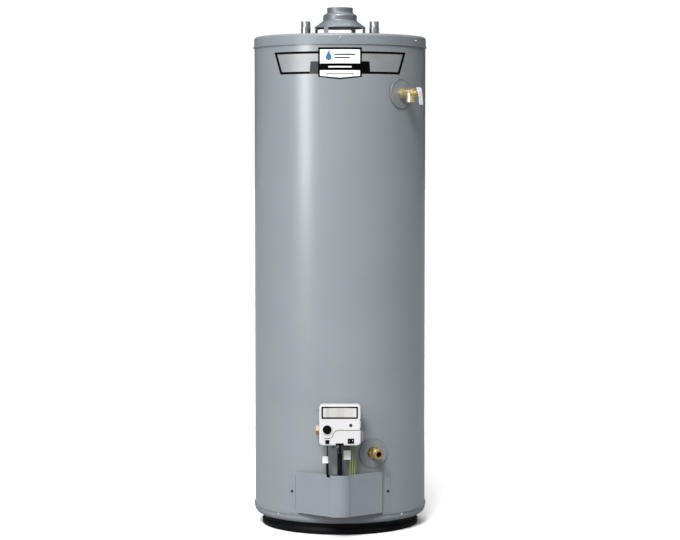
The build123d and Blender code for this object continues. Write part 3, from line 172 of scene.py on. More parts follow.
NOISE_DETAIL = {Grain.CAST: 9.0, Grain.FIBRES: 12.0, Grain.PULP: 8.0, Grain.BRUSHED: 5.0}
PLAIN_DETAIL = 2.0  # for the other grains made of noise
PATCH_DETAIL = 4.0
PATCH_RANGE = (0.35, 0.68)  # part of the slow noise over which the two colours mix
MOTTLE_RANGE = (0.25, 0.75)  # part of the mottle over which the roughness changes
COAT_ROUGHNESS = 0.12
YARN_TURN = 0.6  # slant of a braid's yarns, in radians


@dataclass(frozen=True)
class Finish:
    """A surface finish.

    Attributes:
        name: The material's name, in a maker's words.
        colour: sRGB hex code of the main colour.
        drift: sRGB hex code that the colour wanders towards.
        grain: Kind of relief.
        grain_mm: Size of one grain.
        relief_mm: Height of the relief.
        roughness: Lowest and highest roughness.
        metallic: 1 for bare metal.
        drift_mm: Size of the patches of colour.
        coat: Strength of a clear top layer.
        stretch: Scale of the pattern along x, y and z.
        specular: Strength of the mirror-like share, 0.5 for most plastics and paints.
    """

    name: str
    colour: str
    drift: str
    grain: Grain
    grain_mm: float
    relief_mm: float
    roughness: Point
    metallic: float = 0.0
    drift_mm: float = 60.0
    coat: float = 0.0
    stretch: tuple[float, float, float] = (1.0, 1.0, 1.0)
    specular: float = 0.5

    def material(self) -> bpy.types.Material:
        """Return this finish's material, built the first time it is asked for."""
        found = bpy.data.materials.get(self.name)
        return found if found else self.build()

    def build(self) -> bpy.types.Material:
        """Build the material from nodes.

        Returns:
            The new material.
        """
        material = bpy.data.materials.new(self.name)
        material.use_nodes = True
        tree = material.node_tree
        tree.nodes.clear()
        place = add_node(tree, "ShaderNodeTexCoord").outputs["Object"]
        stretched = add_node(tree, "ShaderNodeMapping", {"Vector": place, "Scale": self.stretch}).outputs[0]
        height = self.relief(tree, stretched)
        drift = {"Vector": place, "Scale": 1 / (self.drift_mm * MM), "Detail": PATCH_DETAIL}
        patches = add_node(tree, "ShaderNodeTexNoise", drift).outputs["Fac"]
        colour = self.paint(tree, place, patches, height)
        mottle = math_node(tree, "MULTIPLY_ADD", height, 0.5, math_node(tree, "MULTIPLY", patches, 0.5))
        gloss = mapped(tree, mottle, MOTTLE_RANGE, self.roughness)
        grain = {"Height": height, "Strength": 1.0, "Distance": self.relief_mm * MM}
        bump = add_node(tree, "ShaderNodeBump", grain).outputs[0]
        shader = add_node(
            tree,
            "ShaderNodeBsdfPrincipled",
            {
                "Base Color": colour,
                "Metallic": self.metallic,
                "Roughness": gloss,
                "Coat Weight": self.coat,
                "Coat Roughness": COAT_ROUGHNESS,
                "Specular IOR Level": self.specular,
                "Normal": bump,
            },
        )
        self.adjust(shader)
        add_node(tree, "ShaderNodeOutputMaterial", {"Surface": shader.outputs[0]})
        return material

    def adjust(self, shader: bpy.types.Node) -> None:
        """Set further constants on the shader; plain finishes have none."""

    def paint(self, tree: Tree, place: Socket, patches: Socket, height: Socket) -> Socket:
        """Mix the two colours over patches.

        Args:
            tree: The material's tree.
            place: Object coordinates; not used here.
            patches: Slow noise.
            height: Fine relief; not used here.

        Returns:
            The colour socket.
        """
        return mixed(tree, mapped(tree, patches, PATCH_RANGE), linear(self.colour), linear(self.drift))

    def relief(self, tree: Tree, place: Socket) -> Socket:
        """Build the fine relief.

        Args:
            tree: The material's tree.
            place: Stretched object coordinates.

        Returns:
            A height from 0 to 1.
        """
        scale = 1 / (self.grain_mm * MM)
        if self.grain in (Grain.SPANGLE, Grain.CELLS):
            cells = add_node(tree, "ShaderNodeTexVoronoi", {"Vector": place, "Scale": scale, "Randomness": 0.9})
            if self.grain is Grain.SPANGLE:
                return add_node(tree, "ShaderNodeSeparateColor", {"Color": cells.outputs["Color"]}).outputs[0]
            return cells.outputs["Distance"]
        if self.grain is Grain.BRAID:
            yarns = []
            for direction in ("DIAGONAL", "X"):
                turn = 0.0 if direction == "X" else math.pi / 2
                turned = add_node(tree, "ShaderNodeMapping", {"Vector": place, "Rotation": (turn, YARN_TURN, 0.0)})
                inputs = {"Vector": turned.outputs[0], "Scale": scale / 3, "Distortion": 0.6}
                wave = add_node(tree, "ShaderNodeTexWave", inputs, bands_direction=direction)
                yarns.append(wave.outputs["Fac"])
            return math_node(tree, "MAXIMUM", *yarns)
        detail = NOISE_DETAIL.get(self.grain, PLAIN_DETAIL)
        twist = 1.6 if self.grain is Grain.FIBRES else 0.1
        inputs = {"Vector": place, "Scale": scale, "Detail": detail, "Distortion": twist, "Roughness": 0.55}
        return add_node(tree, "ShaderNodeTexNoise", inputs).outputs["Fac"]


@dataclass(frozen=True)
class TagFinish(Finish):
    """White tag stock with plain printed rules; it carries no lettering.

    Attributes:
        rule_mm: Distance between rules.
        rule_share: Share of that distance that is printed.
        ink: sRGB hex code of the print.
        ink_strength: How strongly it covers the stock.
    """

    rule_mm: float = 3.4
    rule_share: float = 0.22
    ink: str = "8e948f"
    ink_strength: float = 0.45

    def paint(self, tree: Tree, place: Socket, patches: Socket, height: Socket) -> Socket:
        """Print pale grey rules across the stock.

        Args:
            tree: The material's tree.
            place: Object coordinates.
            patches: Slow noise.
            height: Fine relief.

        Returns:
            The colour socket.
        """
        base = super().paint(tree, place, patches, height)
        axes = add_node(tree, "ShaderNodeSeparateXYZ", {"Vector": place})
        marks = []
        for axis in (0, 2):
            phase = math_node(tree, "FRACT", math_node(tree, "DIVIDE", axes.outputs[axis], self.rule_mm * MM))
            marks.append(math_node(tree, "LESS_THAN", phase, self.rule_share))
        rules = math_node(tree, "MULTIPLY", math_node(tree, "MAXIMUM", *marks), self.ink_strength)
        return mixed(tree, rules, base, linear(self.ink))


@dataclass(frozen=True)
class CoverFinish(Finish):
    """White moulding with painted shade: a dark strip in the bottom of its groove, standing in for the shade in that
    recess.

    Attributes:
        groove_place: Place of the groove's bottom along y, in metres.
        reach: How far from it the painted shade still darkens.
        facing_limit: The painted shade shows only where the surface's y direction is less than this.
        shade: sRGB hex code of the painted shade.
    """

    groove_place: float = -0.3434
    reach: float = 0.0002
    facing_limit: float = -0.9
    shade: str = "1c1c1e"

    def paint(self, tree: Tree, place: Socket, patches: Socket, height: Socket) -> Socket:
        """Paint shade on what faces the front at the depth of the groove's bottom.

        Args:
            tree: The material's tree.
            place: Object coordinates.
            patches: Slow noise.
            height: Fine relief.

        Returns:
            The colour socket.
        """
        base = super().paint(tree, place, patches, height)
        # painted shade: the groove's bottom is darkened where it faces the front, standing in for the shade in the
        # recess
        gap = math_node(tree, "ABSOLUTE", math_node(tree, "SUBTRACT", along(tree, place, 1), self.groove_place))
        normal = add_node(tree, "ShaderNodeTexCoord").outputs["Normal"]
        front = math_node(tree, "LESS_THAN", along(tree, normal, 1), self.facing_limit)
        painted_groove_shade = math_node(tree, "MULTIPLY", math_node(tree, "LESS_THAN", gap, self.reach), front)
        return mixed(tree, painted_groove_shade, base, linear(self.shade))


@dataclass(frozen=True)
class WindowFinish(Finish):
    """Pale window with upright panes of slightly different tint behind it.

    Attributes:
        sides: The window's left and right side along x, in metres.
        panes: Where each pane starts, as a share of the width, and its sRGB hex code.
        haze: sRGB hex code of the haze over the panes.
        haze_strength: How much of the haze shows.
    """

    sides: Point = (-0.0526, 0.0508)
    panes: Sequence[tuple[float, str]] = (
        (0.0, "b9b9b7"),
        (0.13, "a3a4a2"),
        (0.2, "b2b2ad"),
        (0.42, "acaba6"),
        (0.62, "b8b4b3"),
        (0.86, "c0bebc"),
    )
    haze: str = "cfcfcd"
    haze_strength: float = 0.15

    def paint(self, tree: Tree, place: Socket, patches: Socket, height: Socket) -> Socket:
        """Tint the panes by their place across the window.

        Args:
            tree: The material's tree.
            place: Object coordinates.
            patches: Slow noise.
            height: Fine relief; not used here.

        Returns:
            The colour socket.
        """
        share = mapped(tree, along(tree, place, 0), self.sides)
        ramp = add_node(tree, "ShaderNodeValToRGB", {"Fac": share})
        ramp.color_ramp.interpolation = "CONSTANT"
        stops = ramp.color_ramp.elements
        for stop, (position, code) in zip(stops, (self.panes[0], self.panes[-1])):
            stop.position, stop.color = position, linear(code)
        for position, code in self.panes[1:-1]:
            stops.new(position).color = linear(code)
        haze = math_node(tree, "MULTIPLY", patches, self.haze_strength)
        return mixed(tree, haze, ramp.outputs[0], linear(self.haze))


@dataclass(frozen=True)
class GlassFinish(Finish):
    """Clear heat-proof glass.

    Attributes:
        clearness: Share of the light that goes through.
        refraction: Index of refraction.
    """

    clearness: float = 0.9
    refraction: float = 1.47

    def adjust(self, shader: bpy.types.Node) -> None:
        """Let light through."""
        shader.inputs["Transmission Weight"].default_value = self.clearness
        shader.inputs["IOR"].default_value = self.refraction


# baked enamel on the jacket: an even mid grey with a soft, wide highlight down the side
JACKET_PAINT = Finish(
    "baked_enamel_grey", "80868a", "7c8286", Grain.ORANGE_PEEL, 2.6, 0.012, (0.28, 0.33), drift_mm=220, specular=0.9
)
# the same enamel on the pressed pans: a touch darker and less glossy, so the lips read as separate sheets
PAN_PAINT = Finish(
    "baked_enamel_pan", "7d8388", "777d82", Grain.ORANGE_PEEL, 2.2, 0.015, (0.34, 0.44), drift_mm=120
)
# the same enamel on the folded door: flatter faces with a dull sheen
DOOR_PAINT = Finish(
    "baked_enamel_door", "7e8489", "7a8086", Grain.ORANGE_PEEL, 2.4, 0.014, (0.38, 0.46), drift_mm=90
)
# black moulded ring: almost no reflection, so it grounds the heater as one dark band
BLACK_BASE = Finish("matte_black_ring", "07080a", "0b0c0f", Grain.MOULDED, 1.2, 0.05, (0.45, 0.6), specular=0.12)
# plated screw heads: small bright points
ZINC_PLATE = Finish("bright_zinc_plate", "e4e6e8", "cfd3d6", Grain.BRUSHED, 0.8, 0.01, (0.2, 0.34), 1.0, 6)
# blackened screws: dark heads with a faint metal glint
BLACK_OXIDE = Finish("black_oxide", "1b1d20", "26292c", Grain.CAST, 0.6, 0.01, (0.35, 0.5), 0.7, 6)
# bare steel with mill scale: blotchy dark grey metal
ROLLED_STEEL = Finish("hot_rolled_steel", "6c6e70", "57595b", Grain.CAST, 3.0, 0.05, (0.42, 0.62), 0.9, 40)
# fired glass lining: deep blue with a wet, slightly wavy gloss
GLASS_LINING = Finish(
    "glass_lined_steel", "2b3a5c", "23304f", Grain.ORANGE_PEEL, 4.0, 0.06, (0.18, 0.34), coat=0.4
)
# galvanised pipe: bright, with small zinc crystals
PIPE_ZINC = Finish("galvanised_pipe", "c6c9cc", "a7abaf", Grain.SPANGLE, 2.2, 0.01, (0.22, 0.4), 1.0, 9)
# weathered galvanised sheet: duller and darker, with large crystals
HOOD_ZINC = Finish("galvanised_hood", "7b8085", "6f7479", Grain.SPANGLE, 5.0, 0.012, (0.38, 0.52), 0.55, 26)
# poured foam: warm yellow, dull, with open cells
FOAM = Finish("polyurethane_foam", "e2cf9e", "cdb57c", Grain.CELLS, 1.6, 0.5, (0.75, 0.9))
# mineral wool: tan, fully matte, with a ragged surface
WOOL = Finish("mineral_wool", "b9ad8e", "a09273", Grain.FIBRES, 5.0, 1.2, (0.85, 0.97))
# glass-fibre rope: off-white and matte, with fine fibres
GLASS_FIBRE = Finish("glass_fibre_gasket", "dedacb", "cbc6b4", Grain.FIBRES, 1.6, 0.3, (0.8, 0.95))
# black ink on film: the darkest and flattest tone of the label
LABEL_BLACK = Finish(
    "label_black_print", "040404", "070707", Grain.PULP, 0.6, 0.004, (0.5, 0.6), drift_mm=20, specular=0.02
)
# metallised film: silver grey with fine level lines that catch the light
LABEL_SILVER = Finish(
    "label_silver_film", "9b9d9f", "929497", Grain.BRUSHED, 2.0, 0.004, (0.42, 0.5), 0.45, 60, stretch=(1, 1, 14)
)
# dark grey ink on the same film: charcoal with a slight sheen
LABEL_GREY = Finish("label_grey_print", "2d2e30", "242527", Grain.BRUSHED, 2.0, 0.004, (0.4, 0.5), 0.3, 30)
# white ink: clean and even
LABEL_WHITE = Finish("label_white_print", "f3f4f3", "eef0ee", Grain.PULP, 0.6, 0.004, (0.35, 0.45), drift_mm=20)
# blue ink: the label's only strong colour
LABEL_BLUE = Finish("label_blue_print", "2a6c9b", "256491", Grain.PULP, 0.6, 0.004, (0.35, 0.45), drift_mm=20)
# turned brass: pale gold with crisp highlights
BRASS = Finish("machined_brass", "f3e4bc", "d8c084", Grain.BRUSHED, 1.6, 0.012, (0.22, 0.36), 0.9, 11)
# cast brass: deeper gold with brown patches and a grainy skin
OLD_BRASS = Finish("cast_brass", "e0ca8e", "8f6e3e", Grain.CAST, 1.4, 0.04, (0.24, 0.4), 0.95, 5)
# polished stamping: partly its own bright metal and partly painted reflection: a nearly white colour with a lilac
# drift, so it looks bright even where it mirrors little
LEVER_METAL_AND_PAINTED_SHINE = Finish("stamped_lever_and_painted_shine", "f6f6f8", "e6e4ec", Grain.BRUSHED, 1.2, 0.008, (0.2, 0.32), 0.35, 12)
# drawn wire: mid-grey metal with a line of light on each turn
SPRING_WIRE = Finish("spring_wire", "a3a5a8", "8d8f92", Grain.BRUSHED, 0.8, 0.008, (0.25, 0.4), 1.0, 8)
# moulded cover: grey like the jacket but flatter, so the disc just shows
GREY_DISC = Finish("grey_moulded_disc", "7a8085", "747a80", Grain.MOULDED, 1.0, 0.03, (0.4, 0.52), drift_mm=40)
# rubber: soft black without glints
RUBBER = Finish("black_rubber", "131315", "1c1c1e", Grain.MOULDED, 1.4, 0.05, (0.55, 0.75))
# die-cast metal: light grey with a fine pebbled skin
DIE_CAST = Finish("die_cast_aluminium", "b9bbbd", "a6a8ab", Grain.CAST, 1.2, 0.05, (0.32, 0.5), 1.0, 18)
# moulded cover: clean white with a light sheen, and painted shade along its groove: a dark line where the groove runs
WHITE_MOULDING = CoverFinish(
    "white_moulded_plastic", "c6c5c5", "c1c0c1", Grain.MOULDED, 0.8, 0.015, (0.3, 0.4), drift_mm=30, coat=0.1
)
# control window: pale grey panes behind a smooth face
WINDOW = WindowFinish("pale_control_window", "b4b4b2", "acacaa", Grain.MOULDED, 2.0, 0.004, (0.25, 0.35), coat=0.1)
# black moulding: dark trim and knob with a weak sheen
BLACK_MOULDING = Finish(
    "black_moulded_plastic", "060607", "0a0a0b", Grain.MOULDED, 0.7, 0.02, (0.4, 0.5), specular=0.08
)
# status light: a smooth dark bead
DARK_LENS = Finish("dark_lens", "060708", "0a0b0d", Grain.ORANGE_PEEL, 3.0, 0.004, (0.1, 0.16), specular=0.2)
# turned steel: clean mid-grey metal
MACHINED_STEEL = Finish("machined_steel", "b3b5b8", "96989b", Grain.BRUSHED, 1.0, 0.01, (0.22, 0.36), 1.0, 10)
# tarnished brass: dull tan with violet-brown patches
INLET_BRASS = Finish(
    "tarnished_inlet_brass", "a98d62", "877686", Grain.CAST, 2.2, 0.03, (0.5, 0.65), 0.4, 14, specular=0.3
)
# aluminium tube in the shade of the door, with that shade painted in: its colour is a dark grey; the matte finish is
# its own, and the soft line of light comes from the lamps
ALUMINIUM_PAINTED_SHADE = Finish("aluminium_tube_painted_shade", "5e5f61", "494a4c", Grain.BRUSHED, 1.2, 0.01, (0.4, 0.5), 0.9, 16)
# coated tube: smooth near-black
BLACK_TUBE = Finish("black_coated_tube", "0c0d0f", "141517", Grain.ORANGE_PEEL, 1.4, 0.02, (0.36, 0.46), specular=0.2)
# wire insulation: olive green with a low sheen
GREEN_WIRE = Finish("olive_insulation", "7d8a45", "6d7a38", Grain.MOULDED, 1.0, 0.02, (0.36, 0.5), drift_mm=14)
# wire insulation: black with a low sheen
BLACK_WIRE = Finish("black_insulation", "101012", "19191b", Grain.MOULDED, 1.0, 0.03, (0.4, 0.55))
# braided sleeve: matte black with crossed yarns
BRAIDED = Finish("braided_heat_sleeve", "070708", "101012", Grain.BRAID, 1.5, 0.25, (0.55, 0.8), specular=0.1)
# wrapped tape: dark olive and dull
OLIVE_WRAP = Finish("olive_lead_wrap", "4d5230", "3b4024", Grain.MOULDED, 1.2, 0.1, (0.5, 0.66), drift_mm=8)
# paper tag: white and dull, with pale grey rules
TAG_STOCK = TagFinish("white_tag_stock", "efefec", "e6e7e2", Grain.PULP, 0.9, 0.02, (0.55, 0.7))
# arrestor plate: dull grey metal
PERFORATED = Finish("perforated_plate", "7a7a7c", "646466", Grain.CAST, 2.0, 0.03, (0.4, 0.6), 0.9, 20)
# glazed ceramic: cream with a glassy shine
CERAMIC = Finish("glazed_ceramic", "e8e2d6", "dcd4c4", Grain.ORANGE_PEEL, 2.0, 0.02, (0.12, 0.26), coat=0.5)
# sight glass: clear, with a faint cool tint
SIGHT_GLASS = GlassFinish("sight_glass", "e6efee", "dde8e6", Grain.ORANGE_PEEL, 4.0, 0.004, (0.02, 0.06))
# cast magnesium: pale grey metal with a rough skin
MAGNESIUM = Finish("magnesium_rod", "aeb1b4", "93979b", Grain.CAST, 2.4, 0.08, (0.4, 0.6), 0.9, 14)
# plastic tube: milky blue-grey with a soft sheen
POLYETHYLENE = Finish("polyethylene_tube", "c3d0dc", "b6c5d3", Grain.ORANGE_PEEL, 4.0, 0.02, (0.35, 0.5))


def dress(finish: Finish, *nodes: str) -> None:
    """Give frame nodes a finish.

    Args:
        finish: The finish.
        *nodes: Names of the frame's nodes.
    """
    for name in nodes:
        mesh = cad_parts[name].data
        mesh.materials.clear()
        mesh.materials.append(finish.material())
        log.info("frame node %s: %s", name, finish.name)


# ------------------------------------------------------------------ mesh helpers
def add_piece(name: str, mesh: Mesh, finish: Finish, body: str = HEATER) -> bpy.types.Object:
    """Put a finished mesh in the scene as one piece.

    Args:
        name: The piece's name.
        mesh: Its mesh, already in place.
        finish: Its finish.
        body: The body it moves with.

    Returns:
        The new object.
    """
    mesh.materials.clear()
    mesh.materials.append(finish.material())
    piece = bpy.data.objects.new(name, mesh)
    bpy.context.scene.collection.objects.link(piece)
    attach(piece, body)
    log.info("piece %s: %d faces, %s, rides %s", name, len(mesh.polygons), finish.name, body)
    return piece


def mesh_from(name: str, points: Sequence[Vector], faces: Sequence[Sequence[int]], smooth: bool = True) -> Mesh:
    """Make a clean mesh whose faces point outwards.

    Args:
        name: The mesh's name.
        points: Its vertices.
        faces: Vertex numbers of each face.
        smooth: Whether faces shade smoothly up to a crease.

    Returns:
        The mesh.
    """
    mesh = bpy.data.meshes.new(name)
    mesh.from_pydata([tuple(p) for p in points], [], [tuple(f) for f in faces])
    work = bmesh.new()
    work.from_mesh(mesh)
    bmesh.ops.remove_doubles(work, verts=work.verts, dist=MERGE)
    bmesh.ops.recalc_face_normals(work, faces=work.faces)
    work.to_mesh(mesh)
    work.free()
    if smooth:
        mesh.shade_smooth()
        mesh.set_sharp_from_angle(angle=CREASE)
    return mesh


@dataclass(frozen=True)
class Facing:
    """A frame at an angle round the jacket.

    Attributes:
        angle: Degrees from the front, to the right.
        height: Height of its origin, in metres.
    """

    angle: float
    height: float

    def matrix(self) -> Matrix:
        """Return the matrix from (x, y up, depth out) to the row frame."""
        turn = Matrix.Rotation(math.radians(self.angle), 4, "Z") @ Matrix.Rotation(math.radians(90), 4, "X")
        return Matrix.Translation((0, 0, self.height)) @ turn

    def at(self, x: float, y: float, depth: float) -> Vector:
        """Return a point of this frame in the row frame."""
        return self.matrix() @ Vector((x, y, depth))

    def outwards(self, depth: float) -> Matrix:
        """Return the place of a shape whose axis runs straight out of this frame from a depth."""
        return self.matrix() @ Matrix.Translation((0, 0, depth))


def wrapped_patch(name: str, columns: Sequence[Column], radius: float, thick: float) -> Mesh:
    """Bend a flat outline round the jacket as a thin closed film.

    Args:
        name: The mesh's name.
        columns: (x, low, high) from left to right, in metres, as seen from the front.
        radius: Radius of the film's back.
        thick: Film thickness.

    Returns:
        The film's mesh.
    """
    points: list[Vector] = []
    for x, low, high in columns:
        angle = math.asin(x / radius)
        for depth in (radius, radius + thick):
            for z in (low, high):
                points.append(Vector((depth * math.sin(angle), -depth * math.cos(angle), z)))
    faces = []
    for index in range(len(columns) - 1):
        a = index * 4
        b = a + 4
        faces += [(a, b, b + 1, a + 1), (a + 2, a + 3, b + 3, b + 2)]
        faces += [(a, a + 2, b + 2, b), (a + 1, b + 1, b + 3, a + 3)]
    last = (len(columns) - 1) * 4
    faces += [(0, 1, 3, 2), (last, last + 2, last + 3, last + 1)]
    return mesh_from(name, points, faces, smooth=False)


def spaced(columns: Sequence[Column], step: float = 0.004) -> list[Column]:
    """Add columns between the given ones, so that a patch bends smoothly.

    Args:
        columns: (x, low, high) from left to right.
        step: Greatest distance between two columns.

    Returns:
        All the columns.
    """
    full = [columns[0]]
    for (x0, low0, high0), (x1, low1, high1) in zip(columns, columns[1:]):
        count = max(1, math.ceil((x1 - x0) / step))
        for index in range(1, count + 1):
            share = index / count
            full.append((x0 + (x1 - x0) * share, low0 + (low1 - low0) * share, high0 + (high1 - high0) * share))
    return full


def flipped(columns: Sequence[Column]) -> list[Column]:
    """Mirror an outline from the right of the front to the left."""
    return [(-x, low, high) for x, low, high in reversed(columns)]


def copied(node: str, name: str) -> Mesh:
    """Copy a frame node's mesh, with its doubled corners merged.

    Args:
        node: The frame node.
        name: The copy's name.

    Returns:
        The copy.
    """
    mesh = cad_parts[node].data.copy()
    mesh.name = name
    work = bmesh.new()
    work.from_mesh(mesh)
    bmesh.ops.remove_doubles(work, verts=work.verts, dist=MERGE)
    work.to_mesh(mesh)
    work.free()
    return mesh


# ------------------------------------------------------------------ geometry-node recipes
class Recipe:
    """A geometry-node tree with named inputs for its sizes, and the plain mesh that it gives."""

    def __init__(self, name: str) -> None:
        """Start an empty tree.

        Args:
            name: The tree's name.
        """
        self.tree = bpy.data.node_groups.new(name, "GeometryNodeTree")
        self.tree.interface.new_socket("Geometry", in_out="INPUT", socket_type="NodeSocketGeometry")
        self.tree.interface.new_socket("Geometry", in_out="OUTPUT", socket_type="NodeSocketGeometry")
        self.entry = self.tree.nodes.new("NodeGroupInput")
        self.keys: dict[str, str] = {}

    def size(self, name: str, kind: str = "NodeSocketFloat") -> Socket:
        """Add a named input.

        Args:
            name: The input's name.
            kind: Its socket type.

        Returns:
            The socket that carries it inside the tree.
        """
        socket = self.tree.interface.new_socket(name, in_out="INPUT", socket_type=kind)
        self.keys[name] = socket.identifier
        return self.entry.outputs[name]

    def node(self, kind: str, inputs: dict | None = None, **settings: object) -> bpy.types.Node:
        """Add a node to this tree."""
        return add_node(self.tree, kind, inputs, **settings)

    def close(self, geometry: Socket) -> None:
        """End the tree in realised instances with a material.

        Args:
            geometry: What the tree has made so far.
        """
        real = self.node("GeometryNodeRealizeInstances", {"Geometry": geometry}).outputs[0]
        material = self.size("Material", "NodeSocketMaterial")
        done = self.node("GeometryNodeSetMaterial", {"Geometry": real, "Material": material}).outputs[0]
        self.node("NodeGroupOutput", {"Geometry": done})

    def bake(self, name: str, start: Mesh, finish: Finish, values: dict[str, object]) -> Mesh:
        """Run the tree once.

        Args:
            name: The resulting mesh's name.
            start: The mesh that the tree starts from.
            finish: The finish of what it makes.
            values: A value for each named input.

        Returns:
            A plain mesh.
        """
        holder = bpy.data.objects.new(name + "_holder", start)
        bpy.context.scene.collection.objects.link(holder)
        modifier = holder.modifiers.new("recipe", "NODES")
        modifier.node_group = self.tree
        for label, value in {**values, "Material": finish.material()}.items():
            modifier[self.keys[label]] = value
        graph = bpy.context.evaluated_depsgraph_get()
        mesh = bpy.data.meshes.new_from_object(holder.evaluated_get(graph))
        mesh.name = name
        holder.modifiers.remove(modifier)
        bpy.data.objects.remove(holder)
        return mesh


def hex_screw_recipe() -> Recipe:
    """Build the tree that sets hex washer-head screws on points.

    Returns:
        A recipe with inputs Washer Radius, Washer Height, Flats and Head Height.
    """
    recipe = Recipe("hex_washer_screws")
    radius = recipe.size("Washer Radius")
    washer_height = recipe.size("Washer Height")
    flats = recipe.size("Flats")
    head_height = recipe.size("Head Height")
    tree = recipe.tree
    parts = []
    for corners, across, tall in (
        (28, radius, washer_height),
        (6, math_node(tree, "DIVIDE", flats, math.sqrt(3)), head_height),
    ):
        drum = recipe.node("GeometryNodeMeshCylinder", {"Vertices": corners, "Radius": across, "Depth": tall})
        middle = recipe.node("ShaderNodeCombineXYZ", {"Z": math_node(tree, "MULTIPLY", tall, 0.5)}).outputs[0]
        lifted = recipe.node("GeometryNodeTransform", {"Geometry": drum.outputs["Mesh"], "Translation": middle})
        parts.append(lifted.outputs[0])
    joined = recipe.node("GeometryNodeJoinGeometry")
    for part in reversed(parts):
        tree.links.new(part, joined.inputs[0])
    turn = recipe.node("GeometryNodeInputNamedAttribute", {"Name": "facing"}, data_type="FLOAT_VECTOR").outputs[0]
    placed = recipe.node(
        "GeometryNodeInstanceOnPoints",
        {"Points": recipe.entry.outputs["Geometry"], "Instance": joined.outputs[0], "Rotation": turn},
    )
    recipe.close(placed.outputs[0])
    return recipe


def winding_recipe() -> Recipe:
    """Build the tree that winds a round wire into a helix along +Z.

    Returns:
        A recipe with inputs Turns, Radius, Length, Wire Radius and Steps.
    """
    recipe = Recipe("wound_helix")
    turns = recipe.size("Turns")
    radius = recipe.size("Radius")
    length = recipe.size("Length")
    wire = recipe.size("Wire Radius")
    steps = recipe.size("Steps", "NodeSocketInt")
    spiral = recipe.node(
        "GeometryNodeCurveSpiral",
        {"Resolution": steps, "Rotations": turns, "Start Radius": radius, "End Radius": radius, "Height": length},
    )
    section = recipe.node("GeometryNodeCurvePrimitiveCircle", {"Resolution": 8, "Radius": wire}, mode="RADIUS")
    swept = recipe.node(
        "GeometryNodeCurveToMesh",
        {"Curve": spiral.outputs[0], "Profile Curve": section.outputs[0], "Fill Caps": True},
    )
    recipe.close(swept.outputs[0])
    return recipe


def rib_row_recipe() -> Recipe:
    """Build the tree that repeats an upright rib along a line.

    Returns:
        A recipe with inputs Count, Pitch and Rib, whose last is the size of one rib.
    """
    recipe = Recipe("rib_row")
    count = recipe.size("Count", "NodeSocketInt")
    pitch = recipe.size("Pitch", "NodeSocketVector")
    rib = recipe.size("Rib", "NodeSocketVector")
    line = recipe.node("GeometryNodeMeshLine", {"Count": count, "Offset": pitch})
    bar = recipe.node("GeometryNodeMeshCube", {"Size": rib})
    placed = recipe.node("GeometryNodeInstanceOnPoints", {"Points": line.outputs[0], "Instance": bar.outputs[0]})
    recipe.close(placed.outputs[0])
    return recipe


SCREWS = hex_screw_recipe()
WINDING = winding_recipe()
RIBS = rib_row_recipe()


def point_cloud(name: str, places: Sequence[tuple[Facing, float, float, float]]) -> Mesh:
    """Make loose points that carry the way each one faces.

    Args:
        name: The mesh's name.
        places: (facing frame, x, y, depth) of each point.

    Returns:
        A mesh of points with a vector attribute named facing.
    """
    mesh = bpy.data.meshes.new(name)
    mesh.from_pydata([tuple(f.at(x, y, depth)) for f, x, y, depth in places], [], [])
    attribute = mesh.attributes.new("facing", "FLOAT_VECTOR", "POINT")
    for index, (facing, _, _, _) in enumerate(places):
        attribute.data[index].vector = facing.matrix().to_euler()
    return mesh


def softened(piece: bpy.types.Object, width: float, segments: int = 2) -> None:
    """Round a piece's sharp edges with a bevel.

    Args:
        piece: The piece.
        width: Width of the bevel.
        segments: Number of its segments.
    """
    bevel = piece.modifiers.new("rounded_edges", "BEVEL")
    bevel.width = width
    bevel.segments = segments
    bevel.limit_method = "ANGLE"
    bevel.angle_limit = BEVELLED


@dataclass(frozen=True)
class Coil:
    """A round wire wound into a helix.

    Attributes:
        radius: Radius of the wire's middle.
        length: Length along the axis.
        pitch: Distance between turns.
        wire: Radius of the wire.
        steps: Points along the wire.
    """

    radius: float
    length: float
    pitch: float
    wire: float
    steps: int

    def mesh(self, name: str, place: Matrix, finish: Finish) -> Mesh:
        """Wind the helix.

        Args:
            name: The mesh's name.
            place: Where its start goes, with the helix's axis along z.
            finish: Its finish.

        Returns:
            The helix's mesh, in place.
        """
        sizes = {
            "Turns": self.length / self.pitch,
            "Radius": self.radius,
            "Length": self.length,
            "Wire Radius": self.wire,
            "Steps": self.steps,
        }
        mesh = WINDING.bake(name, bpy.data.meshes.new(name + "_start"), finish, sizes)
        mesh.transform(place)
        mesh.shade_smooth()
        return mesh


def stand_in(node: str, name: str, finish: Finish) -> bpy.types.Object:
    """Make a soft piece from the space that its frame node holds.

    Args:
        node: The frame node it stands for.
        name: The piece's name.
        finish: Its finish.

    Returns:
        The piece.
    """
    mesh = copied(node, name)
    mesh.shade_smooth()
    mesh.set_sharp_from_angle(angle=CREASE)
    piece = add_piece(name, mesh, finish)
    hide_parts(node)
    return piece


# ------------------------------------------------------------------ sub-assemblies
class Assembly(Protocol):
    """Anything that builds one part of the heater."""

    def build(self) -> None:
        """Make the pieces and give them their finishes."""


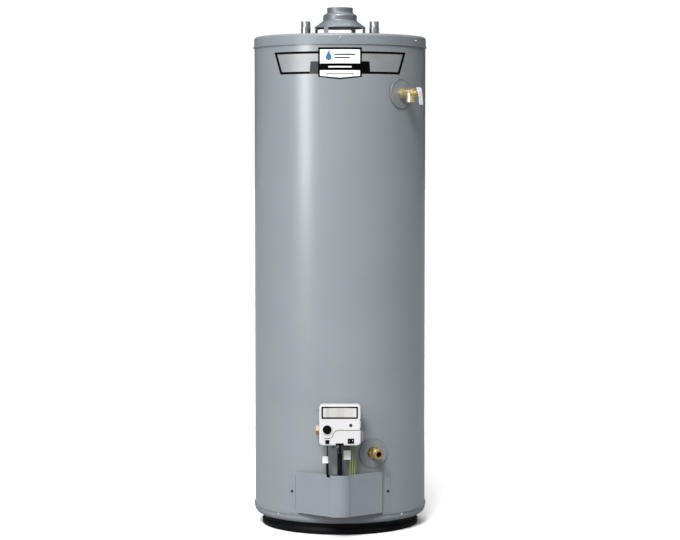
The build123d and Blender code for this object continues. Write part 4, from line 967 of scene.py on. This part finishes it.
@dataclass
class Jacket:
    """The painted jacket, its pans, their screws and the base ring.

    Attributes:
        screw_face: Radius that the pans' screw heads sit on.
        top_screws: Angles of the upper screws.
        top_level: Height of the upper screws.
        low_screws: Angles of the lower screws.
        low_level: Height of the lower screws.
        washer: Radius and height of a head's washer.
        hexagon: Width across the flats and height of a head.
        rounding: Width of the heads' bevel.
    """

    screw_face: float = 0.255
    top_screws: Sequence[float] = (0, 60, 180, 240)
    top_level: float = 1.431
    low_screws: Sequence[float] = (45, 135, 225, 315)
    low_level: float = 0.052
    washer: Point = (0.0042, 0.0007)
    hexagon: Point = (0.0055, 0.002)
    rounding: float = 0.0002

    def build(self) -> None:
        """Dress the shell and make its screws."""
        dress(JACKET_PAINT, "jacket_shell")
        dress(PAN_PAINT, "top_pan", "bottom_pan")
        dress(BLACK_BASE, "base_filter_ring")
        dress(ROLLED_STEEL, "support_feet")
        places = [(Facing(a, self.top_level), 0.0, 0.0, self.screw_face) for a in self.top_screws]
        places += [(Facing(a, self.low_level), 0.0, 0.0, self.screw_face) for a in self.low_screws]
        sizes = dict(zip(("Washer Radius", "Washer Height", "Flats", "Head Height"), self.washer + self.hexagon))
        mesh = SCREWS.bake("pan_screw_heads", point_cloud("pan_screw_points", places), ZINC_PLATE, sizes)
        screws = add_piece("pan_screw_heads", mesh, ZINC_PLATE)
        softened(screws, self.rounding)
        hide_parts("pan_screws")


@dataclass
class FrontLabel:
    """The printed film across the front: a silver band and a white shield, with a plain drop and bars.

    Attributes:
        back: Radius of the film's printed face.
        ink: Thickness of one printed layer.
        band_top: Height of the band's upper edge.
        band_low: Height of its lower edge.
        half_top: Half its width at the top.
        half_low: Half its width at the bottom.
        band_tip: Height of the band's outline at its slanted end.
        border: Width of the black border.
        shield_half: Half the shield's width with its border.
        wing_top: Height of the dark blocks' upper edge.
        wing_reach: Half the width over both blocks, at the top and at the bottom.
        wing_tip: Height of their outline at its slanted end.
        field_half: Half the width of the shield's white fields.
        upper_field: Lower and upper edge of the upper field.
        lower_field: Lower and upper edge of the lower field, at its sides.
        lower_point: Height of the lower field's point.
        drop_place: Middle of the drop's round part.
        drop_radius: Its radius.
        drop_point: Height of the drop's point over the round part.
        drop_power: How fast the point narrows.
        drop_columns: Columns on each side of the drop's middle.
        sliver: Least height of a column.
        bars: (left, right, low, high, ink) of each bar.
    """

    back: float = 0.25431
    ink: float = 0.00006
    band_top: float = 1.395
    band_low: float = 1.331
    half_top: float = 0.1896
    half_low: float = 0.1719
    band_tip: float = 0.0002
    border: float = 0.0066
    shield_half: float = 0.0625
    wing_top: float = 1.3665
    wing_reach: Point = (0.0842, 0.0870)
    wing_tip: float = 0.0004
    field_half: float = 0.0572
    upper_field: Point = (1.3604, 1.4000)
    lower_field: Point = (1.3252, 1.3408)
    lower_point: float = 1.3196
    drop_place: Point = (-0.0325, 1.3775)
    drop_radius: float = 0.0085
    drop_point: float = 0.011
    drop_power: float = 1.5
    drop_columns: int = 12
    sliver: float = 1e-5
    bars: Sequence[tuple[float, float, float, float, Finish]] = (
        (-0.016, 0.044, 1.3838, 1.3878, LABEL_GREY),
        (-0.016, 0.028, 1.3748, 1.3788, LABEL_GREY),
        (-0.033, 0.033, 1.3486, 1.3526, LABEL_WHITE),
        (-0.040, 0.040, 1.3306, 1.3328, LABEL_GREY),
    )

    def layer(self, name: str, columns: Sequence[Column], finish: Finish, level: int = 0) -> None:
        """Print one shape.

        Args:
            name: The piece's name.
            columns: Its outline as (x, low, high).
            finish: Its ink.
            level: How many layers lie under it.
        """
        mesh = wrapped_patch(name, spaced(columns), self.back + self.ink * level, self.ink)
        add_piece(name, mesh, finish)

    def band(self) -> None:
        """Print the silver inside of the band, left and right of the shield."""
        low, high = self.band_low + self.border, self.band_top - self.border
        lean = (self.half_top - self.half_low) / (self.band_top - self.band_low)
        inset = self.border * math.hypot(1, lean)
        outer_low = self.half_low + lean * self.border - inset
        outer_high = self.half_top - lean * self.border - inset
        right = [(self.shield_half, low, high), (outer_low, low, high), (outer_high, high - self.band_tip, high)]
        self.layer("label_band_right", right, LABEL_SILVER)
        self.layer("label_band_left", flipped(right), LABEL_SILVER)

    def wings(self) -> None:
        """Print the two dark blocks beside the shield."""
        low, high = self.band_low, self.wing_top
        reach_top, reach_low = self.wing_reach
        right = [(self.shield_half, low, high), (reach_top, low, high), (reach_low, low, low + self.wing_tip)]
        self.layer("label_wing_right", right, LABEL_BLACK, 1)
        self.layer("label_wing_left", flipped(right), LABEL_GREY, 1)

    def fields(self) -> None:
        """Print the shield's two white fields."""
        half = self.field_half
        self.layer("label_upper_field", [(-half, *self.upper_field), (half, *self.upper_field)], LABEL_WHITE, 1)
        middle = (0, self.lower_point, self.lower_field[1])
        lower = [(-half, *self.lower_field), middle, (half, *self.lower_field)]
        self.layer("label_lower_field", lower, LABEL_WHITE, 1)

    def drop(self) -> None:
        """Print the plain blue drop."""
        centre, radius, half = Vector(self.drop_place), self.drop_radius, self.drop_columns
        outline = []
        for index in range(-half, half + 1):
            x = radius * index / half
            side = math.sqrt(max(radius * radius - x * x, 0.0))
            point = self.drop_point * (1 - abs(index) / half) ** self.drop_power
            outline.append((centre.x + x, centre.y - side, centre.y + side + point + self.sliver))
        self.layer("label_drop", outline, LABEL_BLUE, 2)

    def build(self) -> None:
        """Print the whole label."""
        dress(LABEL_BLACK, "front_label")
        self.band()
        self.wings()
        self.fields()
        self.drop()
        for index, (left, right, low, high, finish) in enumerate(self.bars):
            self.layer(f"label_bar_{index + 1}", [(left, low, high), (right, low, high)], finish, 2)


@dataclass
class TopFittings:
    """The draft hood and its legs, and the two water nipples with their threads.

    Attributes:
        nipple_x: Distance of a nipple from the tank's axis.
        thread_low: Height at which the thread starts.
        thread: The thread's ridge, on the pipe's surface.
    """

    nipple_x: float = 0.1016
    thread_low: float = 1.479
    thread: Coil = Coil(radius=0.01335, length=0.0145, pitch=0.0018, wire=0.0006, steps=340)

    def build(self) -> None:
        """Dress the hood and nipples and cut the threads."""
        dress(HOOD_ZINC, "draft_hood", "draft_hood_legs")
        dress(PIPE_ZINC, "pipe_nipples")
        for side, name in ((-1, "hot_nipple_thread"), (1, "cold_nipple_thread")):
            place = Matrix.Translation((side * self.nipple_x, 0, self.thread_low))
            add_piece(name, self.thread.mesh(name, place, PIPE_ZINC), PIPE_ZINC)


@dataclass
class ReliefValve:
    """The relief valve on the jacket's right shoulder, with its lever, coil spring and cover disc.

    Attributes:
        facing: The frame it is built in.
        spring_start: Depth of the spring's inner end.
        spring_end: Depth of its outer end, which stays put.
        end_gap: Space between each end and the middle of the wire.
        spring_radius: Radius of the wire's middle.
        spring_pitch: Distance between turns.
        spring_wire: Radius of the wire.
        spring_steps: Points along the wire.
        lift: Travel of the stem; not used.
    """

    facing: Facing = Facing(43.7, 1.277)
    spring_start: float = 0.304
    spring_end: float = 0.315
    end_gap: float = 0.0011
    spring_radius: float = 0.0077
    spring_pitch: float = 0.0030
    spring_wire: float = 0.0010
    spring_steps: int = 117
    lift: float = 0.003

    def build(self) -> None:
        """Dress the valve and wind its spring."""
        dress(BRASS, "tp_valve_body", "tp_stem")
        # the lever's near-white colour is partly painted reflection
        dress(LEVER_METAL_AND_PAINTED_SHINE, "tp_lever")
        dress(MACHINED_STEEL, "tp_lever_pin")
        dress(ROLLED_STEEL, "tp_probe")
        dress(GREY_DISC, "valve_cover_discs")
        length = self.spring_end - self.spring_start - 2 * self.end_gap
        spring = Coil(self.spring_radius, length, self.spring_pitch, self.spring_wire, self.spring_steps)
        place = self.facing.outwards(self.spring_start + self.end_gap)
        mesh = spring.mesh("tp_coil_spring", place, SPRING_WIRE)
        coil = add_piece("tp_coil_spring", mesh, SPRING_WIRE)
        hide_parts("tp_spring")
        out = self.facing.at(0, 0, 1) - self.facing.at(0, 0, 0)
        self.facing.at(0, 0, self.spring_end)
        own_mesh(coil)


@dataclass
class DrainValve:
    """The drain valve at the lower right, with its hose thread.

    Attributes:
        facing: The frame it is built in.
        thread_start: Depth at which the hose thread starts.
        thread: The hose thread's ridge.
    """

    facing: Facing = Facing(21.9, 0.2407)
    thread_start: float = 0.284
    thread: Coil = Coil(radius=0.0131, length=0.0145, pitch=0.0022, wire=0.0007, steps=263)

    def build(self) -> None:
        """Dress the valve and wind its hose thread."""
        dress(OLD_BRASS, "drain_valve_body", "drain_stem")
        dress(RUBBER, "drain_gasket", "drain_plug")
        mesh = self.thread.mesh("hose_thread", self.facing.outwards(self.thread_start), OLD_BRASS)
        add_piece("hose_thread", mesh, OLD_BRASS)


@dataclass(frozen=True)
class BlockRow:
    """A row of small equal blocks on the control's face.

    Attributes:
        name: The piece's name.
        finish: Its finish.
        first: (x, y) of the first block.
        sunk: How far the blocks' middles lie behind the face.
        count: Number of blocks.
        pitch: Step from one block to the next.
        block: Size of a block.
    """

    name: str
    finish: Finish
    first: Point
    sunk: float
    count: int
    pitch: Size
    block: Size


@dataclass
class GasControl:
    """The white gas control: its cover, window, knob, buttons, sockets and inlet.

    Attributes:
        facing: The frame it is built in.
        face: Depth of the cover's front.
        rounding: Width of the blocks' bevel.
        rows: The window's ribs, the socket's pins and the cover's clips.
    """

    facing: Facing = Facing(0, 0.335)
    face: float = 0.345
    rounding: float = 0.0003
    rows: Sequence[BlockRow] = (
        BlockRow(
            "window_ribs", BLACK_MOULDING, (-0.0224, 0.0509), 0.0002, 8, (0.0064, 0, 0), (0.0042, 0.0008, 0.0020)
        ),
        BlockRow(
            "socket_pins", ZINC_PLATE, (0.0262, -0.0460), 0.0010, 3, (0.0048, 0, 0), (0.0012, 0.0030, 0.0040)
        ),
        BlockRow(
            "cover_clips", BLACK_MOULDING, (0.0574, 0.0146), 0.0050, 2, (0, 0, -0.0246), (0.0026, 0.0070, 0.0036)
        ),
    )

    def add_row(self, row: BlockRow) -> None:
        """Add one row of blocks.

        Args:
            row: The row.
        """
        sizes = {"Count": row.count, "Pitch": row.pitch, "Rib": row.block}
        mesh = RIBS.bake(row.name, bpy.data.meshes.new(row.name + "_start"), row.finish, sizes)
        mesh.transform(Matrix.Translation(self.facing.at(*row.first, self.face - row.sunk)))
        softened(add_piece(row.name, mesh, row.finish), self.rounding)

    def build(self) -> None:
        """Dress the control and add its small parts."""
        dress(WHITE_MOULDING, "control_cover")
        dress(WINDOW, "control_window")
        dress(BLACK_MOULDING, "control_trim", "temperature_knob", "igniter_button")
        dress(DARK_LENS, "status_light")
        dress(MACHINED_STEEL, "knob_shaft")
        dress(DIE_CAST, "gas_valve_body")
        dress(INLET_BRASS, "gas_inlet_fitting")
        dress(ROLLED_STEEL, "thermowell")
        for row in self.rows:
            self.add_row(row)


class GasTrain:
    """The tubes and leads that run down from the control into the burner chamber."""

    def build(self) -> None:
        """Dress the tubes, leads, sleeves and tags."""
        # the manifold tube's dark grey colour is painted shade from the door
        dress(ALUMINIUM_PAINTED_SHADE, "manifold_tube")
        dress(BLACK_TUBE, "pilot_tube")
        dress(MACHINED_STEEL, "manifold_fittings")
        dress(BLACK_WIRE, "igniter_lead")
        dress(GREEN_WIRE, "thermopile_leads")
        dress(BRAIDED, "heat_sleeves")
        dress(TAG_STOCK, "wire_tags")
        dress(OLIVE_WRAP, "lead_clips")


class BurnerChamber:
    """The burner, its flame arrestor and the inner door that closes the chamber."""

    def build(self) -> None:
        """Dress everything inside the chamber."""
        dress(ROLLED_STEEL, "chamber_floor", "burner_head", "burner_mixer", "pilot_burner", "inner_door")
        dress(PERFORATED, "flame_arrestor")
        dress(CERAMIC, "pilot_sensors")
        stand_in("inner_door_gasket", "glass_fibre_rope", GLASS_FIBRE)
        dress(SIGHT_GLASS, "sight_glass")
        dress(BLACK_OXIDE, "inner_door_screws")


@dataclass
class TankCore:
    """The tank with its flue and rods, and the insulation round it.

    Attributes:
        wool_fill: Share of its space that the loose wool takes up; not used.
    """

    wool_fill: float = 0.9

    def build(self) -> None:
        """Dress the tank and make its insulation."""
        dress(GLASS_LINING, "tank_shell", "tank_heads")
        dress(ROLLED_STEEL, "tank_spuds", "flue_tube", "flue_baffle")
        dress(POLYETHYLENE, "dip_tube")
        dress(MAGNESIUM, "anode_rod")
        stand_in("foam_insulation", "moulded_foam", FOAM)
        wool = stand_in("chamber_insulation", "wool_blanket", WOOL)


class OuterDoor:
    """The lift-off burner door and its two screws."""

    def build(self) -> None:
        """Dress the door and its screws."""
        dress(DOOR_PAINT, "outer_door")
        dress(BLACK_OXIDE, "outer_door_screws")


# ------------------------------------------------------------------ studio
@dataclass(frozen=True)
class Softbox:
    """An area light.

    Attributes:
        name: Its name.
        place: Where it hangs.
        aim: What it points at.
        size: Its width and height.
        power: Its power in watts.
    """

    name: str
    place: Size
    aim: Size
    size: Point
    power: float

    def hang(self) -> None:
        """Put the light in the scene."""
        data = bpy.data.lights.new(self.name, "AREA")
        data.shape = "RECTANGLE"
        data.size, data.size_y = self.size
        data.energy = self.power
        lamp = bpy.data.objects.new(self.name, data)
        lamp.location = self.place
        lamp.rotation_euler = (Vector(self.aim) - Vector(self.place)).to_track_quat("-Z", "Y").to_euler()
        bpy.context.scene.collection.objects.link(lamp)


@dataclass(frozen=True)
class FarLight:
    """One even light from far away.

    Attributes:
        name: Its name.
        tilt: Degrees from straight overhead towards the front.
        heading: Degrees that it then turns to the right.
        strength: Its strength.
        softness: Its angular size in degrees.
    """

    name: str
    tilt: float
    heading: float
    strength: float
    softness: float

    def hang(self) -> None:
        """Put the light in the scene."""
        data = bpy.data.lights.new(self.name, "SUN")
        data.energy = self.strength
        data.angle = math.radians(self.softness)
        lamp = bpy.data.objects.new(self.name, data)
        lamp.rotation_euler = (math.radians(self.tilt), 0, math.radians(self.heading))
        bpy.context.scene.collection.objects.link(lamp)


@dataclass
class Studio:
    """Pale floor, soft lights and the camera.

    Attributes:
        eye: The camera's place.
        tilt: Degrees that it looks down.
        lens: Focal length in millimetres.
        sensor: Width of the sensor in millimetres.
        sight: How far the camera sees.
        floor_reach: Half the floor's side.
        floor_drop: How far the floor lies under the base.
        floor_bounce: The floor's colour as the heater's surroundings.
        floor_seen: The floor's colour as the camera sees it.
        floor_gloss: Roughness and mirror-like share of the floor.
        room: Strength of the room's light from the front and from the back.
        room_seen: Strength of the room as the camera sees it.
        lights: The lights.
    """

    eye: Size = (0.0, -6.112, 1.0985)
    tilt: float = 3.208
    lens: float = 108.36
    sensor: float = 36.0
    sight: float = 200.0
    floor_reach: float = 60.0
    floor_drop: float = 0.0004
    floor_bounce: Colour = (0.30, 0.30, 0.31, 1)
    floor_seen: Colour = (0.95, 0.95, 0.95, 1)
    floor_gloss: Point = (0.9, 0.1)
    room: Point = (0.30, 0.03)
    room_seen: float = 1.05
    lights: Sequence[FarLight | Softbox] = (
        FarLight("overhead_fill", 0, 0, 2.5, 70),
        FarLight("front_fill", 48, -14, 3.6, 20),
        Softbox("key_softbox", (-2.5, -2.45, 1.78), (0, 0, 1.42), (0.85, 1.75), 50),
    )

    def camera(self) -> None:
        """Set up the camera."""
        data = bpy.data.cameras.new("camera")
        data.lens = self.lens
        data.sensor_width = self.sensor
        data.clip_end = self.sight
        holder = bpy.data.objects.new("camera", data)
        holder.location = self.eye
        holder.rotation_euler = (math.radians(90 - self.tilt), 0, 0)
        bpy.context.scene.collection.objects.link(holder)
        bpy.context.scene.camera = holder

    def floor(self) -> None:
        """Lay a wide pale floor."""
        mesh = bpy.data.meshes.new("studio_floor")
        corners = [(x * self.floor_reach, y * self.floor_reach, 0) for x, y in ((-1, -1), (1, -1), (1, 1), (-1, 1))]
        mesh.from_pydata(corners, [], [(0, 1, 2, 3)])
        material = bpy.data.materials.new("studio_floor")
        material.use_nodes = True
        tree = material.node_tree
        shader = tree.nodes["Principled BSDF"]
        seen = add_node(tree, "ShaderNodeLightPath").outputs["Is Camera Ray"]
        tree.links.new(mixed(tree, seen, self.floor_bounce, self.floor_seen), shader.inputs["Base Color"])
        roughness, specular = self.floor_gloss
        shader.inputs["Roughness"].default_value = roughness
        shader.inputs["Specular IOR Level"].default_value = specular
        mesh.materials.append(material)
        floor = bpy.data.objects.new("studio_floor", mesh)
        floor.location.z = -self.floor_drop
        bpy.context.scene.collection.objects.link(floor)

    def world(self) -> None:
        """Fill the room with soft grey light, and show it white."""
        world = bpy.data.worlds.new("studio_world")
        bpy.context.scene.world = world
        world.use_nodes = True
        tree = world.node_tree
        tree.nodes.clear()
        seen = add_node(tree, "ShaderNodeLightPath").outputs["Is Camera Ray"]
        heading = add_node(tree, "ShaderNodeTexCoord").outputs["Generated"]
        depth = add_node(tree, "ShaderNodeSeparateXYZ", {"Vector": heading}).outputs[1]
        light = mapped(tree, depth, (-1.0, 1.0), self.room)
        strength = add_node(tree, "ShaderNodeMix", {"Factor": seen, "A": light, "B": self.room_seen}).outputs[0]
        glow = add_node(tree, "ShaderNodeBackground", {"Color": (1.0, 1.0, 1.0, 1.0), "Strength": strength})
        add_node(tree, "ShaderNodeOutputWorld", {"Surface": glow.outputs[0]})

    def build(self) -> None:
        """Set up the whole studio."""
        self.camera()
        self.floor()
        self.world()
        for light in self.lights:
            light.hang()
        bpy.context.scene.view_settings.view_transform = "Standard"


def main() -> None:
    """Build the studio and every sub-assembly, and report each piece."""
    logging.basicConfig(level=logging.INFO, format="%(message)s")
    Studio().build()
    assemblies: Sequence[Assembly] = (
        Jacket(),
        FrontLabel(),
        TopFittings(),
        ReliefValve(),
        DrainValve(),
        GasControl(),
        GasTrain(),
        BurnerChamber(),
        TankCore(),
        OuterDoor(),
    )
    for assembly in assemblies:
        log.info("== %s", type(assembly).__name__)
        assembly.build()


if __name__ == "__main__":
    main()
